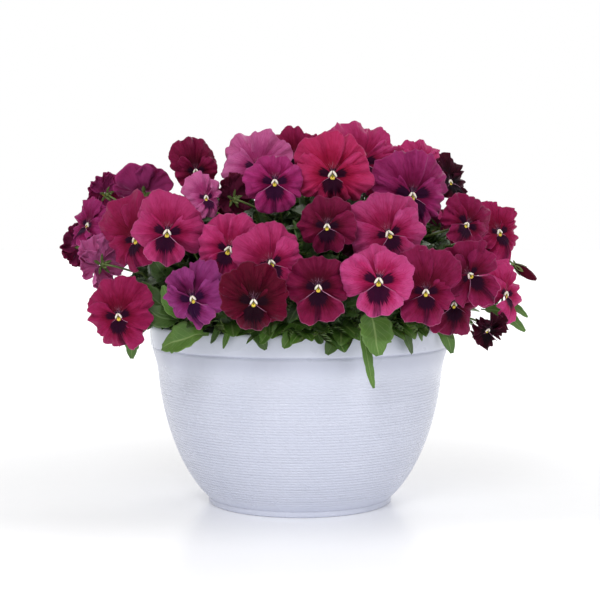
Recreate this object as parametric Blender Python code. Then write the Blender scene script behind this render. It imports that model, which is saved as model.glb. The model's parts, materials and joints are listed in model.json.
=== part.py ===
"""A bowl of pansies: a moulded plastic bowl, its potting mix, five young plants,
the leaves that hang over the lip, and every flower on its own stalk.

Metres, +Z up. The bowl stands on z = 0 with its axis on the Z axis, and the
front of the planting looks towards -Y. Sizes below are in millimetres (MM).
"""
import math
from collections import namedtuple

import bmesh
import bpy
from mathutils import Matrix, Vector
from mathutils.bvhtree import BVHTree

MM = 0.001
GAP = 0.3 * MM  # left between pieces that touch
SMOOTH_ANGLE = math.radians(40)  # a sharper edge than this stays an edge

# ---------------------------------------------------------------- the bowl
SIDES = 48  # round the bowl and the mix
FOOT_RADIUS = 92.5
FOOT_HEIGHT = 6.0
FLARE_RADIUS = 142.8  # where the belly ends and the flare under the lip starts
FLARE_HEIGHT = 132.0
CREASE_RADIUS = 149.0
CREASE_HEIGHT = 158.0
LIP_RADIUS = 151.0
LIP_HEIGHT = 180.0
BELLY_STEPS = 7
WALL = 2.4
FLOOR_TOP = 5.5
EDGE_ROUND = 1.5  # round of the foot's outer edge
CHANNEL_DEPTH = 3.0  # ring-shaped drainage channel under the floor
CHANNEL_INNER = 59.0
CHANNEL_OUTER = 80.0
DRAIN_COUNT = 8
DRAIN_RADIUS = 4.5
DRAIN_SIDES = 12
FLARE = [(2.1, 143.5), (3.9, 150.0)]  # out from the belly's top, height

# ------------------------------------------------------- the potting mix
MIX_EDGE_HEIGHT = 150.0
MIX_CROWN_HEIGHT = 155.0

# ------------------------------------------------------------ the plants
CROWN_RADIUS = 52.0  # leaf mass of the middle plant
PLANT_SPLIT = 1.5  # half the space between two neighbouring leaf masses
LEAF_MASS = [  # radius, height of the outer plants' leaf mass, from the mix up
    (132.0, 155.4),
    (140.0, 171.0),
    (141.0, 184.0),
    (152.0, 190.0),
    (161.0, 202.0),
    (163.0, 218.0),
    (157.0, 236.0),
    (142.0, 253.0),
    (116.0, 268.0),
    (85.0, 278.0),
]
MASS_LOBE = 5.0  # how far the leaf mass swells between its hollows
MASS_TOP = 283.0  # where the outer plants meet the middle one
MASS_STEPS = 12  # sections along one outer plant
CROWN_SIDES = 16
SOIL_GAP = 0.4  # between the mix and the leaves on it

# ----------------------------------------------------------- the flowers
OUTLINE_POINTS = 20
# direction (degrees, 90 is up), length for a width of 1, and narrowness of each
# petal: the lip, the side pair and the upper pair
PETALS = [(270, 0.46, 1.0), (2, 0.50, 1.3), (178, 0.50, 1.3), (58, 0.57, 1.45), (122, 0.57, 1.45)]
THROAT_REACH = 0.3  # the least reach, between two petals
LIP_NOTCH = 0.03
PETAL_EDGE = 1.2  # thickness at the petals' edge
BACK_INSET = 0.97  # the back edge of the petals over the front one
CALYX_RADIUS = 3.4
CALYX_DEPTH = 5.5  # behind the throat
CALYX_SEAT = 0.6  # how much of that depth the petals' base takes
STALK_RADIUS = 1.3
STALK_SIDES = 6
STALK_STEPS = 4
STALK_ROOT = 1.2  # how far short of the leaf mass a stalk ends
STALK_LONGEST = 110.0
STALK_BEND = 12.0  # the hook behind the calyx
STALK_DROPS = (15, 0, 30, -15, 45, -30, 60, -50, 75, 88)  # degrees below level
STALK_SWINGS = (0, 20, -20, 40, -40, 60, -60)  # degrees aside from the planting's axis
PUSH_STEP = 2.0  # a bloom that would touch its neighbour stands this much prouder
PUSH_LIMIT = 24

# x, y, z: the throat in millimetres; turn: degrees to the right of the front;
# tilt: degrees upwards; roll: degrees clockwise as seen from the front of the
# flower; width: across the side petals; tone: 0 nearly black, 1 pale rose
Bloom = namedtuple("Bloom", "name x y z turn tilt roll width tone")

BLOOMS = [
    # the back of the planting, lower round first
    Bloom("back_low_1", 178, 70, 214, 112, 8, 5, 62, 0.55),
    Bloom("back_low_2", 137, 137, 216, 134, 12, -8, 66, 0.35),
    Bloom("back_low_3", 66, 184, 212, 160, 8, 10, 68, 0.70),
    Bloom("back_low_4", -14, 196, 220, 183, 10, -5, 70, 0.60),
    Bloom("back_low_5", -92, 174, 211, 208, 6, 8, 64, 0.20),
    Bloom("back_low_6", -158, 118, 218, 232, 10, -10, 66, 0.65),
    Bloom("back_mid_1", 150, 68, 277, 118, 24, 10, 64, 0.70),
    Bloom("back_mid_2", 92, 134, 279, 145, 28, -6, 66, 0.45),
    Bloom("back_mid_3", 12, 156, 281, 178, 24, 12, 70, 0.75),
    Bloom("back_mid_4", -72, 142, 276, 207, 26, -12, 64, 0.30),
    Bloom("back_mid_5", -140, 84, 272, 236, 22, 6, 62, 0.55),
    Bloom("back_top_1", 78, 50, 326, 130, 48, 0, 62, 0.60),
    Bloom("back_top_2", -36, 62, 334, 205, 50, 14, 66, 0.50),
    # the left side
    Bloom("left_edge_back", -221, 0, 256, -152, 4, 18, 48, 0.25),
    Bloom("left_thin", -200, 22, 311, -142, 18, 0, 40, 0.75),
    Bloom("left_purple", -210, -24, 278, -52, 12, 10, 48, 0.72),
    Bloom("left_domed_back", -158, 8, 313, -168, 40, 0, 58, 0.72),
    Bloom("left_pale_back", -194, -62, 240, -138, -8, 0, 50, 0.85),
    Bloom("left_red", -154, -104, 265, -26, 8, 6, 62, 0.35),
    Bloom("left_crimson", -167, -130, 195, -12, -6, -6, 58, 0.58),
    Bloom("left_tall_dark", -101, -48, 330, 18, 2, -4, 52, 0.30),
    # the top, back ones first
    Bloom("top_folded", -4, -34, 345, -8, 14, 0, 52, 0.42),
    Bloom("top_pale", -42, -74, 334, -6, 8, 4, 64, 0.90),
    Bloom("top_rose", 60, -50, 339, 8, 12, 6, 76, 0.80),
    Bloom("top_ruffled", 123, -22, 337, 22, 14, 0, 56, 0.70),
    Bloom("top_maroon_back", -66, -100, 304, -140, 4, 0, 42, 0.14),
    Bloom("top_small", -23, -128, 318, 4, -6, 2, 54, 0.55),
    Bloom("top_crimson", 30, -116, 325, 0, 0, 0, 73, 0.66),
    Bloom("top_magenta", 106, -92, 306, 10, 4, 4, 68, 0.62),
    # the right side
    Bloom("right_black", 146, -22, 318, 44, 10, 0, 48, 0.06),
    Bloom("right_ruffled", 197, -30, 271, 35, 10, -8, 60, 0.60),
    Bloom("right_magenta", 158, -84, 279, 20, 6, 38, 50, 0.60),
    Bloom("right_purple", 196, -86, 213, 47, 0, 10, 58, 0.74),
    Bloom("right_wine", 140, -148, 207, 14, -12, 0, 50, 0.30),
    Bloom("right_cup", 152, -152, 233, 24, -18, -46, 56, 0.62),
    Bloom("right_withered", 176, -104, 180, 35, -42, 0, 34, 0.03),
    # the front, far ones first
    Bloom("front_side_on", -86, -130, 304, 48, 4, 0, 44, 0.85),
    Bloom("front_nodding_back", 50, -150, 264, 165, -30, 0, 34, 0.08),
    Bloom("front_wine_small", 24, -166, 278, -2, 2, 0, 52, 0.34),
    Bloom("front_rose", -64, -166, 257, -12, 4, 18, 66, 0.70),
    Bloom("front_tall_rose", -25, -180, 246, 14, -2, -14, 60, 0.76),
    Bloom("front_pink", 80, -160, 271, 2, 4, -20, 66, 0.80),
    Bloom("front_wide", -120, -146, 272, -4, -2, 4, 64, 0.76),
    Bloom("front_crimson", 111, -164, 219, 8, -2, 0, 56, 0.50),
    Bloom("front_wine", 16, -192, 225, 2, -4, 2, 56, 0.28),
    Bloom("front_purple", -95, -178, 214, -30, -8, -14, 58, 0.66),
    Bloom("front_velvet", -40, -200, 213, 0, -4, 0, 58, 0.16),
    Bloom("front_bright", 68, -194, 231, -2, -8, 3, 67, 0.95),
]

DARK_PETAL = Vector((0.05, 0.002, 0.012))
PALE_PETAL = Vector((0.56, 0.035, 0.17))

# the closed bud on the right: throat of its calyx, where it points, its length
BUD_PLACE = (214, -22, 238)
BUD_TURN = 76
BUD_TILT = -34
BUD_LENGTH = 24.0
BUD_SIDES = 8
# distance along the bud and its radius there, stalk end first
BUD_SECTION = [(-20.0, 1.2), (-6.0, 1.3), (-3.0, 3.2), (2.0, 4.8), (10.0, 5.6), (19.0, 4.2)]
BUD_SECTION += [(BUD_LENGTH, 1.6)]

# leaves over the lip: name, the points of the midrib from base to tip, width
LIP_LEAVES = [
    ("lip_leaf_left", [(-84, -158, 188), (-108, -152, 186), (-128, -140, 174)], 26.0),
    ("lip_leaf_side", [(-148, -92, 190), (-160, -88, 176), (-160, -86, 152)], 15.0),
    ("lip_leaf_front", [(64, -158, 204), (66, -176, 190), (70, -177, 164)], 32.0),
    ("lip_leaf_narrow", [(56, -158, 196), (57, -168, 172), (66, -169, 134)], 10.0),
]
LEAF_THICKNESS = 1.2
LEAF_STATIONS = 8


def clear_scene():
    for thing in list(bpy.data.objects):
        bpy.data.objects.remove(thing, do_unlink=True)


def finish(name, material, color, roughness):
    """A Principled material of one piece, or the one already made for its kind."""
    made = bpy.data.materials.get(material)
    if made is None:
        made = bpy.data.materials.new(material)
        made.use_nodes = True
        shader = made.node_tree.nodes["Principled BSDF"]
        shader.inputs["Base Color"].default_value = (*color, 1.0)
        shader.inputs["Roughness"].default_value = roughness
        shader.inputs["Metallic"].default_value = 0.0
    bpy.data.objects[name].data.materials.append(made)


def add_object(name, bm):
    bmesh.ops.recalc_face_normals(bm, faces=bm.faces)
    mesh = bpy.data.meshes.new(name)
    bm.to_mesh(mesh)
    bm.free()
    mesh.shade_smooth()
    mesh.set_sharp_from_angle(angle=SMOOTH_ANGLE)
    made = bpy.data.objects.new(name, mesh)
    bpy.context.scene.collection.objects.link(made)
    return made


def bezier(a, b, c, d, steps):
    """Points along a cubic curve, its first end left out."""
    points = []
    for k in range(1, steps + 1):
        t = k / steps
        s = 1.0 - t
        points.append(a * s ** 3 + b * 3 * s * s * t + c * 3 * s * t * t + d * t ** 3)
    return points


def spin_profile(bm, profile):
    """Turns a profile of (radius, height) pairs, both ends on the axis, into a solid."""
    corners = [bm.verts.new((r * MM, 0.0, z * MM)) for r, z in profile]
    edges = [bm.edges.new(pair) for pair in zip(corners, corners[1:])]
    bmesh.ops.spin(
        bm,
        geom=corners + edges,
        cent=(0.0, 0.0, 0.0),
        axis=(0.0, 0.0, 1.0),
        angle=math.tau,
        steps=SIDES,
        use_merge=True,
    )
    bmesh.ops.remove_doubles(bm, verts=bm.verts, dist=1e-6)


def belly(inset=0.0):
    """The bowl's outer line from the foot to the flare, moved in by a wall."""
    line = bezier(
        Vector((FOOT_RADIUS, FOOT_HEIGHT)),
        Vector((121.0, 31.0)),
        Vector((139.0, 86.0)),
        Vector((FLARE_RADIUS, FLARE_HEIGHT)),
        BELLY_STEPS,
    )
    return [(point.x - inset, point.y) for point in line]


def inner_wall(gap=0.0):
    """The bowl's inner line from the floor up to the flare."""
    reach = WALL + gap / MM
    start = (FOOT_RADIUS - reach, FLOOR_TOP + 4.5)
    return [start] + belly(inset=reach)[1:]


def make_bowl():
    outside = [(0.0, 0.0), (CHANNEL_INNER - 1.0, 0.0), (CHANNEL_INNER, CHANNEL_DEPTH)]
    outside += [(CHANNEL_OUTER - 1.0, CHANNEL_DEPTH), (CHANNEL_OUTER, 0.0)]
    outside += [(FOOT_RADIUS - EDGE_ROUND, 0.0), (FOOT_RADIUS, EDGE_ROUND), (FOOT_RADIUS, FOOT_HEIGHT)]
    outside += belly()
    flare = [(FLARE_RADIUS + out, height) for out, height in FLARE]
    crease = [(CREASE_RADIUS, CREASE_HEIGHT), (LIP_RADIUS - 0.8, CREASE_HEIGHT + 2.0)]
    top = [(LIP_RADIUS, LIP_HEIGHT - 3.0), (LIP_RADIUS - 0.8, LIP_HEIGHT - 0.8)]
    top += [(LIP_RADIUS - 2.0, LIP_HEIGHT), (LIP_RADIUS - 3.4, LIP_HEIGHT - 1.0)]
    inside_lip = [(LIP_RADIUS - 3.8, LIP_HEIGHT - 4.0), (CREASE_RADIUS - 2.6, CREASE_HEIGHT + 1.0)]
    inside_flare = [(radius - WALL, height) for radius, height in reversed(flare)]
    inside = list(reversed(inner_wall()))
    floor = [(FOOT_RADIUS - WALL - 3.0, FLOOR_TOP), (0.0, FLOOR_TOP)]
    bm = bmesh.new()
    spin_profile(bm, outside + flare + crease + top + inside_lip + inside_flare + inside + floor)
    add_object("bowl", bm)
    finish("bowl", "lilac_plastic", (0.67, 0.69, 0.84), 0.42)

    cutters = bmesh.new()
    ring = (CHANNEL_INNER + CHANNEL_OUTER) / 2
    for k in range(DRAIN_COUNT):
        angle = math.tau * k / DRAIN_COUNT
        middle = Vector((ring * math.cos(angle), ring * math.sin(angle), (CHANNEL_DEPTH + FLOOR_TOP) / 2))
        bmesh.ops.create_cone(
            cutters,
            cap_ends=True,
            segments=DRAIN_SIDES,
            radius1=DRAIN_RADIUS * MM,
            radius2=DRAIN_RADIUS * MM,
            depth=FLOOR_TOP * MM,
            matrix=Matrix.Translation(middle * MM),
        )
    cutter = add_object("drain_cutters", cutters)
    cutter.hide_render = True
    cutter.display_type = "WIRE"
    drains = bpy.data.objects["bowl"].modifiers.new("drains", "BOOLEAN")
    drains.operation = "DIFFERENCE"
    drains.solver = "EXACT"
    drains.object = cutter


def make_mix():
    floor = FLOOR_TOP + GAP / MM
    edge = FLARE_RADIUS + FLARE[0][0] - WALL - GAP / MM
    profile = [(0.0, floor), (FOOT_RADIUS - WALL - 3.4, floor)] + inner_wall(GAP)
    profile += [(edge, FLARE[0][1]), (edge - 4.0, MIX_EDGE_HEIGHT)]
    profile += [(96.0, MIX_CROWN_HEIGHT - 1.5), (0.0, MIX_CROWN_HEIGHT)]
    bm = bmesh.new()
    spin_profile(bm, profile)
    add_object("potting_mix", bm)
    finish("potting_mix", "peat_mix", (0.045, 0.028, 0.018), 0.95)


def ring_of(bm, points):
    return [bm.verts.new(point) for point in points]


def stitch(bm, first, second):
    """Joins two closed rings that may differ in their number of corners."""
    i = 0
    j = 0
    while i < len(first) or j < len(second):
        near = first[i % len(first)]
        far = second[j % len(second)]
        if (i + 1) * len(second) <= (j + 1) * len(first):
            i += 1
            bm.faces.new((near, first[i % len(first)], far))
        else:
            j += 1
            bm.faces.new((near, second[j % len(second)], far))


def cap(bm, ring, centre):
    tip = bm.verts.new(centre)
    for k in range(len(ring)):
        bm.faces.new((ring[k], ring[(k + 1) % len(ring)], tip))


def mass_section(bearing, lobes):
    """The leaf mass cut at one bearing: a closed loop of (radius, height).

    The lobes grow in above the lip, and the top rises and falls only near the crown.
    """
    outer = []
    for k, (radius, height) in enumerate(LEAF_MASS):
        above_lip = min(max(k - 2, 0) / 3, 1)
        near_top = min(max(k - 5, 0) / 2, 1)
        swell = MASS_LOBE * math.sin(lobes * bearing) * above_lip
        rise = 0.6 * MASS_LOBE * math.cos(lobes * bearing + k) * near_top
        outer.append((radius + swell, height + rise))
    inner_radius = CROWN_RADIUS + 2 * PLANT_SPLIT
    return outer + [(inner_radius, MASS_TOP), (inner_radius, MIX_CROWN_HEIGHT + SOIL_GAP)]


def make_outer_plant(name, start, end, lobes, color):
    """One of the four plants round the edge, between two bearings in degrees."""
    bm = bmesh.new()
    rings = []
    for k in range(MASS_STEPS + 1):
        bearing = math.radians(start + (end - start) * k / MASS_STEPS)
        side = Vector((-math.sin(bearing), math.cos(bearing), 0.0))
        offset = side * PLANT_SPLIT * MM * (1.0 - 2.0 * k / MASS_STEPS)
        section = mass_section(bearing, lobes)
        ring = [
            Vector((r * math.cos(bearing) * MM, r * math.sin(bearing) * MM, z * MM)) + offset
            for r, z in section
        ]
        rings.append(ring_of(bm, ring))
    for before, after in zip(rings, rings[1:]):
        stitch(bm, before, after)
    for ring in (rings[0], rings[-1]):
        centre = sum((corner.co for corner in ring), Vector()) / len(ring)
        cap(bm, ring, centre)
    add_object(name, bm)
    finish(name, name + "_green", color, 0.6)


def make_centre_plant():
    """The middle plant, waisted by five soft hollows."""
    foot = MIX_CROWN_HEIGHT + SOIL_GAP
    profile = [(CROWN_RADIUS - 8.0, foot), (CROWN_RADIUS, foot + 20.0), (CROWN_RADIUS, MASS_TOP - 15.0)]
    profile += [(CROWN_RADIUS - 8.0, MASS_TOP + 1.0), (CROWN_RADIUS - 28.0, MASS_TOP + 9.0)]
    bm = bmesh.new()
    rings = []
    for radius, height in profile:
        ring = []
        for k in range(CROWN_SIDES):
            angle = math.tau * k / CROWN_SIDES
            reach = radius - 1.5 * (1.0 + math.cos(5 * angle))
            ring.append((reach * math.cos(angle) * MM, reach * math.sin(angle) * MM, height * MM))
        rings.append(ring_of(bm, ring))
    for before, after in zip(rings, rings[1:]):
        stitch(bm, before, after)
    cap(bm, rings[0], (0.0, 0.0, foot * MM))
    cap(bm, rings[-1], (0.0, 0.0, (MASS_TOP + 11.0) * MM))
    add_object("plant_centre", bm)
    finish("plant_centre", "plant_centre_green", (0.06, 0.13, 0.03), 0.6)


def facing(turn, tilt, roll=0.0):
    """Right, up and outward directions of a flower that looks where it is turned."""
    turn = math.radians(turn)
    tilt = math.radians(tilt)
    roll = math.radians(roll)
    out = Vector((math.sin(turn) * math.cos(tilt), -math.cos(turn) * math.cos(tilt), math.sin(tilt)))
    level = Vector((math.cos(turn), math.sin(turn), 0.0))
    rise = out.cross(level)
    right = level * math.cos(roll) - rise * math.sin(roll)
    up = level * math.sin(roll) + rise * math.cos(roll)
    return right, up, out


def petal_reach(angle):
    """How far the petals reach at an angle (degrees, 90 is up), for a width of 1."""
    reach = THROAT_REACH
    for middle, length, narrowness in PETALS:
        away = math.radians((angle - middle + 180) % 360 - 180)
        reach = max(reach, length * max(math.cos(narrowness * away), 0.0) ** 0.35)
    return reach - LIP_NOTCH * math.exp(-((angle - 270) / 13.0) ** 2)


def petal_lean(angle):
    """How far forward of the throat the petals' edge lies, for a width of 1."""
    return 0.045 + 0.035 * math.cos(math.radians(angle - 270))


def head_rings(bloom, eye):
    """The petals' front and back edge and the calyx ring of one flower."""
    right, up, out = facing(bloom.turn, bloom.tilt, bloom.roll)
    front = []
    back = []
    for k in range(OUTLINE_POINTS):
        degrees = 360.0 * k / OUTLINE_POINTS
        angle = math.radians(degrees)
        spoke = right * math.cos(angle) + up * math.sin(angle)
        reach = petal_reach(degrees) * bloom.width * MM
        lean = petal_lean(degrees) * bloom.width * MM
        front.append(eye + spoke * reach + out * lean)
        back.append(eye + spoke * reach * BACK_INSET + out * (lean - PETAL_EDGE * MM))
    calyx = []
    for k in range(STALK_SIDES):
        angle = math.tau * k / STALK_SIDES
        spoke = right * math.cos(angle) + up * math.sin(angle)
        calyx.append(eye + spoke * CALYX_RADIUS * MM - out * CALYX_SEAT * CALYX_DEPTH * MM)
    return front, back, calyx


def stalk_rings(eye, bloom, route):
    """Six-sided rings along the stalk, kept square to it without twisting."""
    side = facing(bloom.turn, bloom.tilt, bloom.roll)[0]
    rings = []
    before = eye
    for point in route:
        along = (before - point).normalized()
        side = (side - along * side.dot(along)).normalized()
        other = along.cross(side)
        ring = []
        for n in range(STALK_SIDES):
            angle = math.tau * n / STALK_SIDES
            ring.append(point + (side * math.cos(angle) + other * math.sin(angle)) * STALK_RADIUS * MM)
        rings.append(ring)
        before = point
    return rings


def bloom_mesh(bloom, eye, route):
    """A whole flower as one closed solid: petals, calyx and stalk."""
    front, back, calyx = head_rings(bloom, eye)
    bm = bmesh.new()
    front_ring = ring_of(bm, front)
    back_ring = ring_of(bm, back)
    calyx_ring = ring_of(bm, calyx)
    cap(bm, front_ring, eye)
    stitch(bm, front_ring, back_ring)
    stitch(bm, back_ring, calyx_ring)
    last = calyx_ring
    for ring in stalk_rings(eye, bloom, route):
        next_ring = ring_of(bm, ring)
        stitch(bm, last, next_ring)
        last = next_ring
    cap(bm, last, route[-1])
    return bm


def tree_of(thing):
    """A piece's surface, ready to be tested against another's."""
    bm = bmesh.new()
    bm.from_mesh(thing.data)
    tree = BVHTree.FromBMesh(bm)
    bm.free()
    return tree


def touches(tree, others):
    return any(tree.overlap(other) for other in others)


def head_tree(bloom, eye):
    """The flower with only the short start of its stalk behind the calyx."""
    out = facing(bloom.turn, bloom.tilt)[2]
    bm = bloom_mesh(bloom, eye, [eye - out * (CALYX_DEPTH + 2.0) * MM])
    tree = BVHTree.FromBMesh(bm)
    bm.free()
    return tree


def outward_from_planting(eye):
    """Away from the middle of the planting, level with the bloom or rising a little."""
    middle = Vector((0.0, 0.0, min(eye.z, 0.2)))
    return (eye - middle).normalized()


def stalk_routes(eye, bloom, masses):
    """Curves from the calyx to the leaf mass, most direct first."""
    out = facing(bloom.turn, bloom.tilt)[2]
    start = eye - out * CALYX_DEPTH * MM
    inward = Vector((-eye.x, -eye.y, 0.0)).normalized()
    for drop in STALK_DROPS:
        fall = math.radians(drop)
        for swing in STALK_SWINGS:
            level = Matrix.Rotation(math.radians(swing), 3, "Z") @ inward
            way = level * math.cos(fall) - Vector((0.0, 0.0, math.sin(fall)))
            cast = [mass.ray_cast(start - out * 3.0 * MM, way, STALK_LONGEST * MM) for mass in masses]
            hits = [(distance, place) for place, normal, index, distance in cast if place is not None]
            if not hits:
                continue
            distance, place = min(hits, key=lambda hit: hit[0])
            end = place - way * STALK_ROOT * MM
            bend = min(0.4 * distance, STALK_BEND * MM)
            yield bezier(start, start - out * bend, end - way * bend, end, STALK_STEPS)


def place_blooms(standing):
    """Opens the flowers one after another, each clear of those already there."""
    placed = []
    heads = []
    for bloom in BLOOMS:
        eye = Vector((bloom.x, bloom.y, bloom.z)) * MM
        away = outward_from_planting(eye)
        head = head_tree(bloom, eye)
        pushes = 0
        while touches(head, heads + standing) and pushes < PUSH_LIMIT:
            pushes += 1
            eye = eye + away * PUSH_STEP * MM
            head = head_tree(bloom, eye)
        heads.append(head)
        placed.append((bloom, eye))
    return placed, heads


def grow_stalk(bloom, eye, masses, around):
    """The whole flower on the first stalk that passes clear of everything around."""
    for route in stalk_routes(eye, bloom, masses):
        bm = bloom_mesh(bloom, eye, route)
        tree = BVHTree.FromBMesh(bm)
        if not touches(tree, around):
            return bm, tree
        bm.free()
    raise RuntimeError(f"{bloom.name}: no clear way for its stalk")


def make_blooms():
    masses = [tree_of(thing) for thing in bpy.data.objects if thing.name.startswith("plant_")]
    solid = [thing for thing in bpy.data.objects if thing.name.startswith(("bowl", "lip_leaf", "bud"))]
    standing = masses + [tree_of(thing) for thing in solid]
    placed, heads = place_blooms(standing)
    grown = []
    for index, (bloom, eye) in enumerate(placed):
        around = heads[:index] + heads[index + 1:] + grown + standing
        bm, tree = grow_stalk(bloom, eye, masses, around)
        grown.append(tree)
        name = "bloom_" + bloom.name
        add_object(name, bm)
        finish(name, "petal_" + bloom.name, DARK_PETAL.lerp(PALE_PETAL, bloom.tone), 0.55)
    print(f"{len(placed)} flowers stand clear of each other")


def make_bud():
    """A closed bud: a calyx cup, the rolled petals and a short stalk in one solid."""
    right, up, out = facing(BUD_TURN, BUD_TILT)
    start = Vector(BUD_PLACE) * MM
    bm = bmesh.new()
    rings = []
    for along, radius in BUD_SECTION:
        ring = []
        for k in range(BUD_SIDES):
            angle = math.tau * k / BUD_SIDES
            spoke = right * math.cos(angle) + up * math.sin(angle)
            ring.append(start + out * along * MM + spoke * radius * MM)
        rings.append(ring_of(bm, ring))
    for before, after in zip(rings, rings[1:]):
        stitch(bm, before, after)
    cap(bm, rings[0], start + out * BUD_SECTION[0][0] * MM)
    cap(bm, rings[-1], start + out * (BUD_LENGTH + 0.6) * MM)
    add_object("bud_right", bm)
    finish("bud_right", "bud_purple", (0.10, 0.01, 0.07), 0.6)


def make_lip_leaves():
    """Leaves as thin four-sided blades that bend over the lip along their midrib."""
    for name, midrib, width in LIP_LEAVES:
        a, b, c = (Vector(point) * MM for point in midrib)
        spine = [a] + bezier(a, a.lerp(b, 0.7), c.lerp(b, 0.6), c, LEAF_STATIONS)
        bm = bmesh.new()
        rings = []
        for k, point in enumerate(spine[1:-1], start=1):
            t = k / LEAF_STATIONS
            half = 0.5 * width * MM * math.sin(math.pi * t ** 0.8) ** 0.7
            along = (spine[k + 1] - spine[k - 1]).normalized()
            outward = Vector((point.x, point.y, 0.0)).normalized()
            across = along.cross(outward).normalized()
            face = across.cross(along)
            side = across * half
            lift = face * 0.5 * LEAF_THICKNESS * MM
            corners = [point - side, point + lift, point + side, point - lift]
            rings.append(ring_of(bm, corners))
        for before, after in zip(rings, rings[1:]):
            stitch(bm, before, after)
        cap(bm, rings[0], spine[0])
        cap(bm, rings[-1], spine[-1])
        add_object(name, bm)
        finish(name, "leaf_green", (0.10, 0.20, 0.04), 0.5)


def main():
    clear_scene()
    make_bowl()
    make_mix()
    make_centre_plant()
    make_outer_plant("plant_front_right", -90, 0, 7, (0.07, 0.16, 0.03))
    make_outer_plant("plant_back_right", 0, 90, 8, (0.06, 0.14, 0.03))
    make_outer_plant("plant_back_left", 90, 180, 7, (0.07, 0.15, 0.04))
    make_outer_plant("plant_front_left", 180, 270, 8, (0.06, 0.15, 0.03))
    make_lip_leaves()
    make_bud()
    make_blooms()


main()
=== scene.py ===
# %% [markdown]
# # A bowl of pansies
# A moulded plastic bowl holds five young pansy plants. What makes it look real is
# the flowers: each has five thin petals with a dark feathered blotch, a pale beard
# and a yellow eye, and no two of them face the same way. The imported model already
# says where every piece stands, so this lesson only builds the looks round it.

# %% Load the frame
import json
import math
import random
from collections import namedtuple

import bmesh
import bpy
import numpy as np
from mathutils import Matrix, Vector, noise
from mathutils.bvhtree import BVHTree
from mathutils.kdtree import KDTree


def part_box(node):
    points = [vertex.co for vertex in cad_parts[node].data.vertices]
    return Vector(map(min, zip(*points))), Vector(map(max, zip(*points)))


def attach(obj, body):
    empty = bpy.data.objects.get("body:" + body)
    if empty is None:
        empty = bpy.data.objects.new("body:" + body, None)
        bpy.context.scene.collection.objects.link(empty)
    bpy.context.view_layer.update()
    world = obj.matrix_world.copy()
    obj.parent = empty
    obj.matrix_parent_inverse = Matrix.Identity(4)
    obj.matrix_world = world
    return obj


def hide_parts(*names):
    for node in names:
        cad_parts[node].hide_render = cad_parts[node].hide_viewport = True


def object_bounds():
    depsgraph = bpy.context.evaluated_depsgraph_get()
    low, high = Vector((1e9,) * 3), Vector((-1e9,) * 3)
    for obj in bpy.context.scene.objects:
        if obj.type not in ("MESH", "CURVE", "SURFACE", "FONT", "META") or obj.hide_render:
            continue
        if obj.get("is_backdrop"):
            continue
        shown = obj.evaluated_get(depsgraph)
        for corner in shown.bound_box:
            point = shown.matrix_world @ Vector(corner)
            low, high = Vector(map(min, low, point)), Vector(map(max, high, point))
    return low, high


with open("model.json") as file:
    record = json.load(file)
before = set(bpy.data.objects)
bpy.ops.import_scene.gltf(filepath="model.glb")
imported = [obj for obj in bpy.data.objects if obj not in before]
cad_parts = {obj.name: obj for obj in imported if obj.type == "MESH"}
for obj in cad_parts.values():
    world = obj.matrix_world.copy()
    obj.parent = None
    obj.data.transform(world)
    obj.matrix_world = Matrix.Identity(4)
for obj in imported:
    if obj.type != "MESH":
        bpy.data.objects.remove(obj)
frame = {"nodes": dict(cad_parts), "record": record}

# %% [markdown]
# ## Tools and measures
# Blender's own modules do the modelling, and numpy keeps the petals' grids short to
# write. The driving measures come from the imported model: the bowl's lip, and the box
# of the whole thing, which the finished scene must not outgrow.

MM = 0.001
cad_low, cad_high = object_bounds()
bowl_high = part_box("bowl")[1]
LIP_RADIUS = bowl_high.x
LIP_HEIGHT = bowl_high.z
print(f"lip {LIP_RADIUS * 2000:.0f} mm across, {LIP_HEIGHT * 1000:.0f} mm high")

# %% [markdown]
# ## The camera, the floor and the light
# The bowl is seen from nearly level with its lip, a metre and a half away. The floor
# is a plain white sheet. Three large soft lamps and a white surround give the even
# light of a catalogue studio, with only a faint shadow where the foot stands. The
# surround looks pure white but lights the planter more weakly, so folds stay deep.

# %% Camera
CAMERA_PLACE = Vector((0.0, -1.45, 0.292))
CAMERA_DROP = 0.0615  # radians below level
CAMERA_LENS = 86.4
scene = bpy.context.scene
camera_data = bpy.data.cameras.new("studio_camera")
camera_data.lens = CAMERA_LENS
camera_data.clip_start = 0.05
camera = bpy.data.objects.new("studio_camera", camera_data)
camera.location = CAMERA_PLACE
camera.rotation_euler = (math.pi / 2 - CAMERA_DROP, 0.0, 0.0)
scene.collection.objects.link(camera)
scene.camera = camera
scene.view_settings.view_transform = "Standard"
print("camera stands", round(CAMERA_PLACE.length, 2), "m from the bowl")


# %% Lamps and surround
def soft_lamp(name, place, aim, size, power, warmth=(1.0, 1.0, 1.0)):
    data = bpy.data.lights.new(name, "AREA")
    data.shape = "DISK"
    data.size = size
    data.energy = power
    data.color = warmth
    lamp = bpy.data.objects.new(name, data)
    lamp.location = place
    lamp.rotation_euler = (Vector(aim) - Vector(place)).to_track_quat("-Z", "Y").to_euler()
    scene.collection.objects.link(lamp)


MIDDLE = (0.0, 0.0, 0.22)
soft_lamp("key_lamp", (-0.3, -1.6, 1.35), MIDDLE, 0.7, 12.0)
soft_lamp("fill_lamp", (1.2, -1.3, 0.8), MIDDLE, 1.1, 3.5)
soft_lamp("back_lamp", (0.5, 1.4, 1.3), MIDDLE, 1.0, 9.0)

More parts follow.
